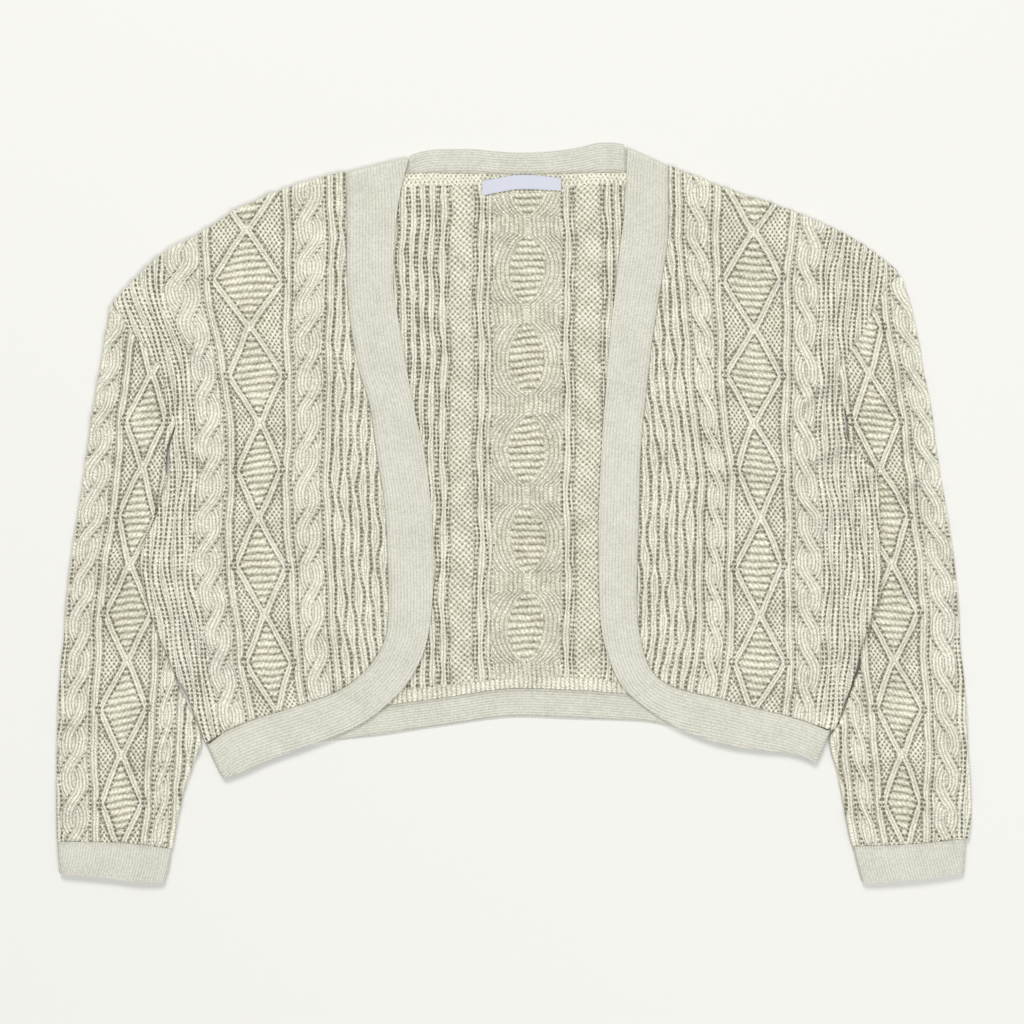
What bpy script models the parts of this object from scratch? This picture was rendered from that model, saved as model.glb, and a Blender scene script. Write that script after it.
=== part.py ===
# Cropped open cardigan of cotton cable knit, laid flat with its sleeves folded down beside the body.
#
# The frame: +Z up, the cloth rests on z = 0, the neck is at +Y and left is -X, as seen from above.
# Tables are in millimetres. A distance "out" is measured from the middle of the body to either side.
# Every wall starts as a grid in stitch space (columns of stitches by rows), is cut finer where cables
# and diamonds run, is laid out through a table of sections, and then gets its thickness.

import math
from collections import namedtuple

import bmesh
import bpy

MM = 0.001

# The cloth
WALL = 2.2  # knit wall, without what is raised on it
LAYER_GAP = 0.6  # between two layers that lie on each other
SEAM = 0.3  # between two pieces at a seam
FOLD_IN = LAYER_GAP / 2
FOLD_OUT = FOLD_IN + WALL
FOLD_LEVEL = WALL + FOLD_IN  # height of the middle of a fold
BAND = 3.0  # rib of the front bands
UNDER_BAND = 2.4  # rib of the neck and the back hem, under the front bands
CUFF = 2.5
LABEL = 0.6
LIFT = 5.7  # how far the body rises where it lies over a sleeve
LIFT_RAMP = 34.0  # how wide the slope down from there is

# The knit
ROW = 7.15  # a quarter of a cable repeat, and a tenth of a diamond
FIRST_ROW = 210.0  # height of a diamond's tip on the fronts
SLEEVE_ROW = 104.0  # height of a diamond's tip on the sleeves
CABLE_REPEAT = 4 * ROW
DIAMOND_REPEAT = 10 * ROW
RIB_HALF = 3.0
INNER_CABLE_HALF = 7.5
OUTER_CABLE_HALF = 10.0
WAVY_PITCH = 6.8  # ribs beside the front band
WAVY_RIBS = 7
SIDE_PITCH = 8.4  # ribs beside the side seam
SIDE_RIBS = 5
ROPE_HALF = 2.2
RIB_RISE = 1.2
CABLE_RISE = 1.3
CABLE_SWAY = 0.9
ROPE_RISE = 1.5
GARTER_RISE = 0.9
GARTER_FURROW = 0.2
CLOSED_DIAMOND = 0.15  # below this share of its spread a diamond's ropes touch
BACK_RISE = 0.8
BACK_RIDGE = 0.7  # share of it on a garter ridge, in a furrow and beside a diamond
BACK_FURROW = 0.1
BACK_GROUND = 0.5

# Rows are laid between these heights, past the ends of each piece
FRONT_ROWS = (272.0, -176.0)
SLEEVE_LOW_ROW = -262.0
BACK_ROWS = (268.0, -186.0)
BACK_PLAIN_PITCH = 14  # columns of the back that lie under the fronts
BACK_PLAIN_FROM = 300
SETTLE = 30  # steps in which a point settles on an edge

# Where the columns of a front or a sleeve lie, out from the middle, at some heights
Columns = namedtuple("Columns", "y rib_d inner_cable rib_c rib_b outer_cable")

LEFT_FRONT_COLUMNS = [
    Columns(262, 138, 154, 171, 229, 246),
    Columns(174, 137, 154, 171, 231, 253),
    Columns(99, 139, 154, 170, 216, 231),
    Columns(24, 140, 154, 171, 212, 228),
    Columns(-36, 139, 153, 169, 213, 230),
    Columns(-96, 134, 148, 164, 206, 222),
    Columns(-141, 131, 144, 160, 199, 214),
    Columns(-178, 129, 142, 156, 193, 208),
]
RIGHT_FRONT_COLUMNS = [
    Columns(262, 121, 133, 151, 213, 229),
    Columns(174, 124, 136, 152, 204, 218),
    Columns(84, 132, 144, 156, 202, 215),
    Columns(24, 138, 150, 162, 203, 217),
    Columns(-36, 138, 150, 162, 204, 220),
    Columns(-96, 136, 149, 161, 205, 219),
    Columns(-141, 130, 142, 155, 203, 215),
    Columns(-178, 126, 139, 152, 199, 211),
]
LEFT_SLEEVE_COLUMNS = [
    Columns(150, 225, 236, 248, 286, 303),
    Columns(75, 233, 244, 256, 293, 310),
    Columns(18, 241, 252, 264, 299, 315),
    Columns(-50, 246, 257, 268, 307, 321),
    Columns(-101, 248, 259, 270, 312, 325),
    Columns(-150, 249, 260, 271, 314, 328),
    Columns(-198, 253, 264, 275, 314, 330),
    Columns(-252, 256, 267, 278, 314, 330),
]
RIGHT_SLEEVE_COLUMNS = [
    Columns(170, 214, 225, 236, 275, 290),
    Columns(75, 226, 237, 248, 289, 304),
    Columns(3, 233, 244, 256, 298, 312),
    Columns(-52, 237, 248, 260, 303, 318),
    Columns(-100, 239, 250, 262, 306, 320),
    Columns(-150, 244, 255, 266, 308, 322),
    Columns(-198, 249, 260, 271, 308, 322),
    Columns(-252, 255, 266, 277, 308, 321),
]

# Outlines: each is a smooth line through points (out, y)
Point = namedtuple("Point", "out y")

LEFT_SHOULDER = [
    Point(60, 268), Point(80, 266.5), Point(104, 260.5), Point(126, 255.5), Point(161, 246), Point(206, 228),
    Point(236, 209), Point(266, 192), Point(302, 156.5),
]
RIGHT_SHOULDER = [
    Point(60, 276), Point(84, 274), Point(94, 269), Point(115, 260), Point(154, 244), Point(199, 229),
    Point(244, 210), Point(266, 197), Point(288, 180),
]
# The armhole seam from the shoulder to the underarm, then the side fold down to the hem
LEFT_SIDE = [
    Point(302, 156.5), Point(285, 133), Point(273, 119), Point(265, 107), Point(262.5, 95), Point(261, 82),
    Point(254, 67), Point(258, 46), Point(259.5, 25), Point(265, 8), Point(271, -11), Point(278, -25),
    Point(280, -37), Point(277, -59), Point(271.5, -76), Point(259, -109), Point(246, -136), Point(236, -161),
    Point(232, -174),
]
RIGHT_SIDE = [
    Point(288, 180), Point(271, 157), Point(260, 134), Point(250, 120), Point(244, 110), Point(241.5, 95),
    Point(246, 81.3), Point(248, 55), Point(262, 38), Point(272, 26), Point(273, 3), Point(272, -21),
    Point(273, -59), Point(268.5, -73), Point(260, -96), Point(251, -129), Point(247, -142), Point(242, -156),
    Point(234, -172),
]

# A front band from the shoulder, round the corner and along the hem to the side
BandSection = namedtuple("BandSection", "seam_out seam_y free_out free_y")

LEFT_BAND = [
    BandSection(127, 255, 80, 266.5),
    BandSection(126, 227, 88, 227),
    BandSection(126, 174, 91.5, 174),
    BandSection(123, 140, 86.5, 140),
    BandSection(117, 107, 81, 107),
    BandSection(109, 80, 76, 80),
    BandSection(103, 40, 67, 40),
    BandSection(97.5, 3, 63, 3),
    BandSection(95.5, -38, 61, -38),
    BandSection(95, -70, 62.5, -72),
    BandSection(97, -93, 67, -100),
    BandSection(107, -112, 78, -124),
    BandSection(121, -126, 95, -143),
    BandSection(138, -136, 119, -160),
    BandSection(164, -145, 152, -173.5),
    BandSection(190, -153, 184, -185),
    BandSection(213, -162, 204, -194),
    BandSection(232, -173, 220, -198.5),
]
RIGHT_BAND = [
    BandSection(115, 260, 84, 274),
    BandSection(115, 234, 83, 236),
    BandSection(114.5, 204, 79.5, 204),
    BandSection(110, 174, 76, 174),
    BandSection(103, 129, 71, 129),
    BandSection(98.5, 90, 68, 90),
    BandSection(94.5, 50, 65, 50),
    BandSection(93, 0, 63, 0),
    BandSection(91.5, -55, 63, -58),
    BandSection(93, -88, 66.5, -96),
    BandSection(100, -114, 79, -128),
    BandSection(112.5, -127.5, 98, -146),
    BandSection(130, -134, 124, -162),
    BandSection(154, -139.5, 154, -173),
    BandSection(178, -146, 181, -177.5),
    BandSection(203, -152, 206, -180),
    BandSection(237, -163, 227, -187),
]

# A sleeve: its outer fold, and the inner fold, which passes under the body's side and comes out again
SleeveSection = namedtuple("SleeveSection", "y outer inner")

LEFT_SLEEVE_SECTIONS = [
    SleeveSection(154, 303.5, 0),
    SleeveSection(129, 307, 0),
    SleeveSection(99, 312, 0),
    SleeveSection(67, 317.5, 254.6),
    SleeveSection(46.8, 320, 260.5),
    SleeveSection(32.5, 322, 261.5),
    SleeveSection(12, 325, 243),
    SleeveSection(-25, 331, 228),
    SleeveSection(-66, 336, 224),
    SleeveSection(-96, 338, 238),
    SleeveSection(-110.6, 340, 255.5),
    SleeveSection(-124.9, 341, 254.0),
    SleeveSection(-139.2, 342, 247.5),
    SleeveSection(-172, 343, 235),
    SleeveSection(-190, 343.2, 242),
    SleeveSection(-215, 343.5, 250),
    SleeveSection(-254, 343, 257),
]
RIGHT_SLEEVE_SECTIONS = [
    SleeveSection(176, 290, 0),
    SleeveSection(144, 299, 0),
    SleeveSection(99, 307, 0),
    SleeveSection(81.3, 311, 246.6),
    SleeveSection(61, 313.5, 249.6),
    SleeveSection(32.5, 317.5, 247),
    SleeveSection(4, 323, 240),
    SleeveSection(-30, 328, 232),
    SleeveSection(-66, 332, 228),
    SleeveSection(-96, 333.5, 241),
    SleeveSection(-110.6, 335, 259),
    SleeveSection(-124.9, 336.5, 254.5),
    SleeveSection(-139.2, 337.5, 250),
    SleeveSection(-156, 338.5, 243.4),
    SleeveSection(-171, 339, 236),
    SleeveSection(-195, 340.5, 241.5),
    SleeveSection(-228, 341.5, 248),
    SleeveSection(-252, 339, 253),
]
# How much of its lift the body's side has at some heights, and how far in the lifted strip begins
Rise = namedtuple("Rise", "y share strip")

LEFT_RISE = [
    Rise(64, 0, 250), Rise(38, 1, 252), Rise(12, 1, 239), Rise(-25, 1, 224.5), Rise(-70, 1, 220),
    Rise(-96, 1, 233), Rise(-112, 1, 245), Rise(-144, 0, 240),
]
RIGHT_RISE = [
    Rise(80, 0, 243), Rise(62, 1, 244), Rise(32, 1, 243), Rise(-30, 1, 229), Rise(-66, 1, 224.5),
    Rise(-96, 1, 237), Rise(-112, 1, 247), Rise(-144, 0, 243),
]

# A cuff: seam and opening, outer and inner fold
CuffSection = namedtuple("CuffSection", "y outer inner")

LEFT_CUFF_SEAM = [Point(250, -252.5), Point(299, -247), Point(345, -246)]
LEFT_CUFF_END = [Point(255, -275.5), Point(274, -277), Point(308, -273.5), Point(345, -270)]
LEFT_CUFF_SECTIONS = [CuffSection(-246, 342.7, 257), CuffSection(-262, 342, 259), CuffSection(-278, 341, 262.5)]
RIGHT_CUFF_SEAM = [Point(250, -250), Point(290, -248.5), Point(340, -244)]
RIGHT_CUFF_END = [Point(255, -275), Point(264, -277), Point(298, -275), Point(340, -269)]
RIGHT_CUFF_SECTIONS = [CuffSection(-244, 338, 253), CuffSection(-262, 337, 256.5), CuffSection(-278, 336, 260)]

# Neck and back hem, from left to right: here x is -X to the left
Strip = namedtuple("Strip", "x top bottom")

NECK_STRIP = [
    Strip(-110, 255, 253.8), Strip(-92, 259.4, 254), Strip(-79.7, 262.3, 254.2), Strip(-79.6, 266.2, 254.2),
    Strip(-76, 268, 254.3), Strip(-70, 270, 254.4), Strip(-62, 271.4, 254.5), Strip(-48, 272, 254.4),
    Strip(-34, 272, 254.2), Strip(-15, 270.4, 253.8), Strip(4, 269.3, 253.6), Strip(20, 269.8, 253.8),
    Strip(34, 271, 254), Strip(49, 273.4, 254.4), Strip(64, 276.8, 254.8), Strip(72, 277, 254.7),
    Strip(79, 276.2, 254.6), Strip(83.6, 275, 254.5), Strip(83.7, 269.6, 254.4), Strip(96, 264.4, 254.3),
    Strip(108, 259, 254.2),
]
HEM_STRIP = [
    Strip(-223, -174, -182), Strip(-214, -169.5, -193), Strip(-188, -159, -184), Strip(-165, -153.5, -176),
    Strip(-136, -148.5, -170.5), Strip(-101, -145, -166.5), Strip(-55, -139, -159.5), Strip(4, -131.8, -152.7),
    Strip(40, -133, -154), Strip(94, -137, -156), Strip(124, -142, -162), Strip(154, -146, -170.5),
    Strip(184, -152, -175), Strip(210, -157, -178), Strip(224.5, -162, -181),
]

# The back's wrong side, seen through the open front: columns by their middle, x to the right
BackColumn = namedtuple("BackColumn", "x half kind")

BACK_COLUMNS = [
    BackColumn(-83.5, 3, "rib"), BackColumn(-76.5, 3, "rib"), BackColumn(-69.5, 3, "rib"),
    BackColumn(-62.5, 3, "rib"), BackColumn(-54, 3, "rib"), BackColumn(-40, 9, "cable"),
    BackColumn(-25.5, 3, "rib"), BackColumn(9, 26, "diamond"), BackColumn(39, 3, "rib"),
    BackColumn(55, 10, "cable"), BackColumn(71, 3, "rib"),
]
BACK_DIAMOND_REPEAT = 67.0
BACK_DIAMOND_TIP = 215.0
BACK_OPENING = (-118.0, 232.0)  # between these heights its stitches are raised
BACK_MARGIN = 4.0  # and this far inside the front bands
BACK_CORNER = -146.0  # below this the back stays further inside the fold
BACK_CLEAR = 2.0
BACK_HIDDEN = 120.0  # further out than this the back's hem lies under the fronts

LABEL_TABLE = [Strip(-24.5, 248.5, 237.5), Strip(6, 253, 242.3), Strip(34.5, 250.8, 241)]

COLOURS = {
    "cable_knit": (0.72, 0.70, 0.60, 1.0),
    "rib_knit": (0.70, 0.67, 0.57, 1.0),
    "woven_label": (0.63, 0.66, 0.74, 1.0),
}

Side = namedtuple("Side", "sign columns shoulder side band sleeve_columns sleeve rise seam end cuff underarm")

LEFT = Side(
    -1, LEFT_FRONT_COLUMNS, LEFT_SHOULDER, LEFT_SIDE, LEFT_BAND, LEFT_SLEEVE_COLUMNS, LEFT_SLEEVE_SECTIONS,
    LEFT_RISE, LEFT_CUFF_SEAM, LEFT_CUFF_END, LEFT_CUFF_SECTIONS, 67.0,
)
RIGHT = Side(
    1, RIGHT_FRONT_COLUMNS, RIGHT_SHOULDER, RIGHT_SIDE, RIGHT_BAND, RIGHT_SLEEVE_COLUMNS, RIGHT_SLEEVE_SECTIONS,
    RIGHT_RISE, RIGHT_CUFF_SEAM, RIGHT_CUFF_END, RIGHT_CUFF_SECTIONS, 81.3,
)


def clear_scene():
    for thing in list(bpy.data.objects):
        bpy.data.objects.remove(thing, do_unlink=True)


def straight(rows, key, value, at):
    """Read one column of a table at a place, along straight lines between its rows."""
    rows = sorted(rows, key=lambda row: getattr(row, key))
    for low, high in zip(rows, rows[1:]):
        if at <= getattr(high, key) or high is rows[-1]:
            start, end = getattr(low, key), getattr(high, key)
            share = (at - start) / (end - start)
            return getattr(low, value) + share * (getattr(high, value) - getattr(low, value))


def spline(before, start, end, after, share):
    """A smooth curve from start to end, one number at a time."""
    return start + 0.5 * share * (
        end - before + share * (
            2 * before - 5 * start + 4 * end - after + share * (3 * (start - end) + after - before)
        )
    )


def smooth_rows(rows, steps):
    """More rows of the same table, on the smooth curve through its rows."""
    ends = [rows[0]] + list(rows) + [rows[-1]]
    kind = type(rows[0])
    finer = []
    for index in range(len(rows) - 1):
        for step in range(steps):
            finer.append(kind(*(spline(*column, step / steps) for column in zip(*ends[index:index + 4]))))
    return finer + [rows[-1]]


def ease(share):
    share = min(max(share, 0.0), 1.0)
    return share * share * (3 - 2 * share)


class Body:
    """The lines of one half of the cardigan: shoulder, side, front band and how the cloth rises at the side."""

    def __init__(self, half):
        self.half = half
        self.band = smooth_rows(half.band, 4)
        seam = [Point(row.seam_out, row.seam_y) for row in self.band]
        slant = [abs(end.out - start.out + end.y - start.y) for start, end in zip(seam, seam[1:])]
        bend = 1 + slant.index(min(slant))
        self.corner = seam[bend]
        self.seam_down = seam[:bend + 1]
        self.seam_across = seam[bend:]
        self.free_edge = [Point(row.free_out, row.free_y) for row in self.band[:bend + 1]]

    def shoulder_y(self, out):
        return straight(self.half.shoulder, "out", "y", out) - FOLD_OUT

    def side_out(self, y):
        return straight(self.half.side, "y", "out", y)

    def seam_out(self, y):
        return straight(self.seam_down, "y", "out", y)

    def hem_y(self, out):
        return straight(self.seam_across, "out", "y", out)

    def folded(self, y):
        """Below the underarm the body's side is a fold; above it is the armhole seam."""
        return y < self.half.underarm - 1

    def lift(self, out, y):
        """The body rises over the strip of sleeve that lies under its side."""
        if not self.half.rise[-1].y < y < self.half.rise[0].y:
            return 0.0
        share = straight(self.half.rise, "y", "share", y)
        strip = straight(self.half.rise, "y", "strip", y)
        return LIFT * share * min(max((out - strip + LIFT_RAMP) / LIFT_RAMP, 0.0), 1.0)


def row_heights(top, bottom, first):
    """Rows of one height, counted from the height of a diamond's tip."""
    start = math.ceil((bottom - first) / ROW)
    stop = math.floor((top - first) / ROW)
    return [first + ROW * k for k in range(stop, start - 1, -1)]


def rib_columns(feature):
    return [(feature, -RIB_HALF, "ground"), (feature, 0.0, "rib"), (feature, RIB_HALF, "ground")]


def cable_columns(feature, half):
    return [(feature, half * (k - 2) / 2, ("ground", "strand", "middle", "strand", "ground")[k]) for k in range(5)]


def diamond_columns():
    """Six columns that follow the two ropes of a diamond from rib to rib."""
    return [("diamond", k, ("hollow", "rope", "beside")[abs(k) - 1]) for k in (-3, -2, -1, 1, 2, 3)]


def knit_columns(wavy, sides):
    """The columns of a front or a sleeve, from the middle of the body outwards."""
    columns = []
    for k in range(2 * wavy, 0, -1):
        columns.append(("rib_d", -RIB_HALF - k * WAVY_PITCH / 2, "rib" if k % 2 else "ground"))
    columns += rib_columns("rib_d")
    columns += cable_columns("inner_cable", INNER_CABLE_HALF)
    columns += rib_columns("rib_c")
    columns += diamond_columns()
    columns += rib_columns("rib_b")
    columns += cable_columns("outer_cable", OUTER_CABLE_HALF)
    for k in range(1, 2 * sides + 1):
        columns.append(("outer_cable", OUTER_CABLE_HALF + k * SIDE_PITCH / 2, "rib" if k % 2 else "ground"))
    return columns


def rope_spread(y, first):
    """How far the ropes of a diamond are apart: 0 at a tip, 1 where it is widest."""
    turn = ((first - y) / DIAMOND_REPEAT) % 1.0
    return 1 - abs(2 * turn - 1)


def column_out(table, column, y, first):
    """Where a column of stitches lies at height y."""
    feature, offset, _ = column
    if feature != "diamond":
        return straight(table, "y", feature, y) + offset
    low = straight(table, "y", "rib_c", y) + RIB_HALF
    high = straight(table, "y", "rib_b", y) - RIB_HALF
    half = (high - low) / 2
    rope = (half - 1) * rope_spread(y, first)
    inside = max(rope - ROPE_HALF, 0.0)
    beside = min(rope + ROPE_HALF, half)
    place = (inside, rope, beside)[abs(offset) - 1]
    return low + half + math.copysign(place, offset)


def column_rise(column, y, first, row):
    """How far a column is raised at height y."""
    feature, offset, kind = column
    turn = 2 * math.pi * (first - y) / CABLE_REPEAT
    if kind == "rib":
        return RIB_RISE
    if kind == "middle":
        return CABLE_RISE
    if kind == "strand":
        return CABLE_RISE + math.copysign(CABLE_SWAY, offset) * math.sin(turn)
    if kind == "rope":
        return ROPE_RISE
    if kind == "hollow":
        if rope_spread(y, first) < CLOSED_DIAMOND:
            return ROPE_RISE
        return GARTER_RISE if round(2 * row) % 2 else GARTER_FURROW
    return 0.0


def stitch_grid(columns, rows, garter_from=None):
    """A flat grid with one vertex for each column and row, with twice the rows inside the diamonds."""
    bm = bmesh.new()
    wide, tall = len(columns) - 1, rows - 1
    bmesh.ops.create_grid(bm, x_segments=wide, y_segments=tall, size=0.5)
    for vertex in bm.verts:
        vertex.co.x = round((vertex.co.x + 0.5) * wide)
        vertex.co.y = round((vertex.co.y + 0.5) * tall)
    if garter_from is not None:
        garter = []
        for edge in bm.edges:
            low, high = [end.co for end in edge.verts]
            inside = low.x == high.x and columns[int(low.x)][2] == "hollow"
            if inside and min(low.y, high.y) >= garter_from:
                garter.append(edge)
        bmesh.ops.subdivide_edges(bm, edges=garter, cuts=1)
    return bm


def read_row(rows, place):
    """The height of a whole or part row."""
    index = min(int(place), len(rows) - 2)
    return rows[index] + (rows[index + 1] - rows[index]) * (place - index)


def thicken(bm, inner, outer):
    """Close a sheet into a wall: its plain inner side at one list of places, its outer side at the other."""
    site = bm.verts.layers.int.new("site")
    for index, vertex in enumerate(bm.verts):
        vertex[site] = index
        vertex.co = [value * MM for value in inner[index]]
    bmesh.ops.remove_doubles(bm, verts=bm.verts[:], dist=1e-7)
    bmesh.ops.dissolve_degenerate(bm, edges=bm.edges[:], dist=1e-7)
    grown = bmesh.ops.extrude_face_region(bm, geom=bm.faces[:])
    for thing in grown["geom"]:
        if isinstance(thing, bmesh.types.BMVert):
            thing.co = [value * MM for value in outer[thing[site]]]
    bmesh.ops.triangulate(bm, faces=bm.faces[:])
    bmesh.ops.recalc_face_normals(bm, faces=bm.faces[:])


def material(name):
    made = bpy.data.materials.get(name)
    if made is None:
        made = bpy.data.materials.new(name)
        made.use_nodes = True
        shader = made.node_tree.nodes["Principled BSDF"]
        shader.inputs["Base Color"].default_value = COLOURS[name.split(".")[0]]
        shader.inputs["Roughness"].default_value = 0.9
        made.diffuse_color = COLOURS[name.split(".")[0]]
    return made


def add_node(bm, name, finish, collection):
    mesh = bpy.data.meshes.new(name)
    bm.to_mesh(mesh)
    bm.free()
    mesh.materials.append(material(finish))
    made = bpy.data.objects.new(name, mesh)
    collection.objects.link(made)
    return made


def wrap(turn, level):
    """A fold's cross-section: how far out and how high its inner and outer sides are, from over to under."""
    angle = math.radians(90 - 180 * turn)
    return (
        (FOLD_IN * math.cos(angle), level + FOLD_IN * math.sin(angle)),
        (FOLD_OUT * math.cos(angle), level + FOLD_OUT * math.sin(angle)),
    )


FOLD_TURNS = (0.25, 0.6, 1.0)


def make_front(half, name, collection):
    """A front: its side folds round to the underside below the underarm, and so does its shoulder."""
    body = Body(half)
    columns = knit_columns(WAVY_RIBS, SIDE_RIBS)
    columns = [("seam", 0.0, "edge")] + columns + [("side", turn, "edge") for turn in (0.0,) + FOLD_TURNS]
    heights = row_heights(*FRONT_ROWS, FIRST_ROW)
    folds = len(FOLD_TURNS)
    bm = stitch_grid(columns, len(heights) + folds, folds)
    ends = [column_ends(body, column) for column in columns]
    inner, outer = [], []
    for vertex in bm.verts:
        index = round(vertex.co.x)
        column = columns[index]
        row = vertex.co.y - folds
        y_top, y_low = ends[index]
        y = read_row(heights, max(row, 0.0))
        held = y >= y_top or y <= y_low or row < 0
        y = min(max(y, y_low), y_top)
        out, bound = front_out(body, column, y)
        level = FOLD_LEVEL + body.lift(out, y)
        rise = 0.0 if held or bound else column_rise(column, y, FIRST_ROW, vertex.co.y)
        if column[0] == "side" and body.folded(y) and row >= 0:
            near, far = wrap(column[1], level)
            inner.append((half.sign * (out + near[0]), y, near[1]))
            outer.append((half.sign * (out + far[0]), y, far[1]))
            continue
        turn = ([0.0] + list(FOLD_TURNS))[min(max(round(-row), 0), folds)]
        near, far = wrap(turn, level)
        inner.append((half.sign * out, y + near[0], near[1]))
        outer.append((half.sign * out, y + far[0], far[1] + rise))
    thicken(bm, inner, outer)
    add_node(bm, name, "cable_knit." + name, collection)


def front_out(body, column, y):
    """Where a column of a front lies at height y, kept between the band's seam and the side."""
    side = body.side_out(y) - (FOLD_OUT if body.folded(y) else SEAM / 2)
    seam = body.seam_out(max(y, body.corner.y)) + SEAM
    if column[0] == "seam":
        return seam, True
    if column[0] == "side":
        return side, True
    out = column_out(body.half.columns, column, y, FIRST_ROW)
    if y < body.corner.y:
        seam = body.corner.out
    return min(max(out, seam), side), out >= side or out <= seam


def column_ends(body, column):
    """The heights at which a column of a front meets the shoulder fold and the band's seam."""
    y_top = body.half.shoulder[0].y
    for _ in range(SETTLE):
        out, _ = front_out(body, column, y_top)
        y_top = 0.5 * (y_top + body.shoulder_y(out))
    y_low = body.corner.y
    if front_out(body, column, y_low)[0] > body.corner.out + SEAM:
        y_low = body.half.band[-1].seam_y
        for _ in range(SETTLE):
            out, _ = front_out(body, column, y_low)
            y_low = 0.5 * (y_low + body.hem_y(max(out, body.corner.out)) + SEAM)
    return y_top, y_low


def make_sleeve(half, name, collection):
    """A sleeve: one tube folded flat, open at the armhole seam, where its two layers part."""
    body = Body(half)
    columns = [("inner_over", turn, "edge") for turn in (0.5, 0.0)]
    columns += knit_columns(0, 2)
    columns += [("outer", turn, "edge") for turn in (0.0,) + FOLD_TURNS]
    columns += [("under", share, "edge") for share in (0.6, 0.3)]
    columns += [("inner_under", turn, "edge") for turn in (1.0, 0.5)]
    armhole_top = half.sleeve[0].y
    heights = row_heights(armhole_top, half.underarm - 1, FIRST_ROW)
    armhole_rows = len(heights)
    heights += row_heights(heights[-1] - ROW / 2, SLEEVE_LOW_ROW, SLEEVE_ROW)
    bm = stitch_grid(columns, len(heights), armhole_rows)
    seam = smooth_rows(half.seam, 5)
    ends = [sleeve_end(body, column, seam) for column in columns]
    inner, outer = [], []
    for vertex in bm.verts:
        index = round(vertex.co.x)
        column = columns[index]
        y = max(read_row(heights, vertex.co.y), ends[index])
        out, bound, angle, way = sleeve_out(body, column, y)
        bound = bound or y == ends[index]
        rise = 0.0 if bound else column_rise(column, y, SLEEVE_ROW, vertex.co.y)
        if y > half.rise[-1].y:
            rise *= ease((out - body.side_out(y) - 1) / 6)
        for places, radius in ((inner, FOLD_IN), (outer, FOLD_OUT + rise)):
            places.append((
                half.sign * (out + way * radius * math.cos(angle)), y, FOLD_LEVEL + radius * math.sin(angle),
            ))
    thicken(bm, inner, outer)
    add_node(bm, name, "cable_knit." + name, collection)


def sleeve_end(body, column, seam):
    """The height at which a column of a sleeve meets the cuff's seam."""
    y = seam[0].y
    for _ in range(SETTLE):
        y = straight(seam, "out", "y", sleeve_out(body, column, y)[0]) + SEAM / 2
    return y


def sleeve_out(body, column, y):
    """Where a column of a sleeve lies, whether it is held at an edge, and its fold's angle and way."""
    rows = body.half.sleeve
    outer = straight(rows, "y", "outer", y) - FOLD_OUT
    is_open = y > body.half.underarm - 1
    if is_open:
        inner = min(body.side_out(y) + SEAM / 2, outer - 0.1)
    else:
        inner = min(straight(rows, "y", "inner", y) + FOLD_OUT, outer - 1)
    feature, value, _ = column
    if feature == "inner_over":
        return inner, True, math.radians(90 - 180 * (0.0 if is_open else value)), -1
    if feature == "inner_under":
        return inner, True, math.radians(90 - 180 * (1.0 if is_open else value)), -1
    if feature == "outer":
        return outer, True, math.radians(90 - 180 * value), 1
    if feature == "under":
        return inner + (outer - inner) * value, True, math.radians(-90), 1
    out = column_out(body.half.sleeve_columns, column, y, SLEEVE_ROW)
    return min(max(out, inner), outer), out >= outer or out <= inner, math.radians(90), 1


def make_cuff(half, name, collection):
    """A cuff: a rib ring folded flat, from the sleeve's end to the opening."""
    seam = smooth_rows(half.seam, 4)
    end = smooth_rows(half.end, 4)
    turns = [("inner", turn) for turn in (0.5, 0.22, 0.0)]
    turns += [("over", share) for share in (0.2, 0.4, 0.6, 0.8)]
    turns += [("outer", turn) for turn in (0.0, 0.22, 0.5, 0.78, 1.0)]
    turns += [("under", share) for share in (0.8, 0.6, 0.4, 0.2)]
    turns += [("inner", turn) for turn in (1.0, 0.78, 0.5)]
    columns = [(feature, value, "edge") for feature, value in turns]
    rows = 4
    radius_out = FOLD_IN + CUFF
    bm = stitch_grid(columns, rows)
    inner, outer = [], []
    for vertex in bm.verts:
        feature, value, _ = columns[round(vertex.co.x)]
        share = vertex.co.y / (rows - 1)
        y = half.cuff[0].y + (half.cuff[-1].y - half.cuff[0].y) * share
        fold_out = straight(half.cuff, "y", "outer", y) - radius_out
        fold_in = straight(half.cuff, "y", "inner", y) + radius_out
        place = {"inner": 0.0, "outer": 1.0}.get(feature, value)
        out = fold_in + (fold_out - fold_in) * place
        top = straight(seam, "out", "y", out) - SEAM / 2
        low = straight(end, "out", "y", out)
        y = top + (low - top) * share
        turn = {"over": 0.0, "under": 1.0}.get(feature, value)
        angle = math.radians(90 - 180 * turn)
        way = -1 if feature == "inner" else 1
        for places, radius in ((inner, FOLD_IN), (outer, radius_out)):
            places.append((
                half.sign * (out + way * radius * math.cos(angle)), y, CUFF + FOLD_IN + radius * math.sin(angle),
            ))
    thicken(bm, inner, outer)
    add_node(bm, name, "rib_knit." + name, collection)


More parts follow.
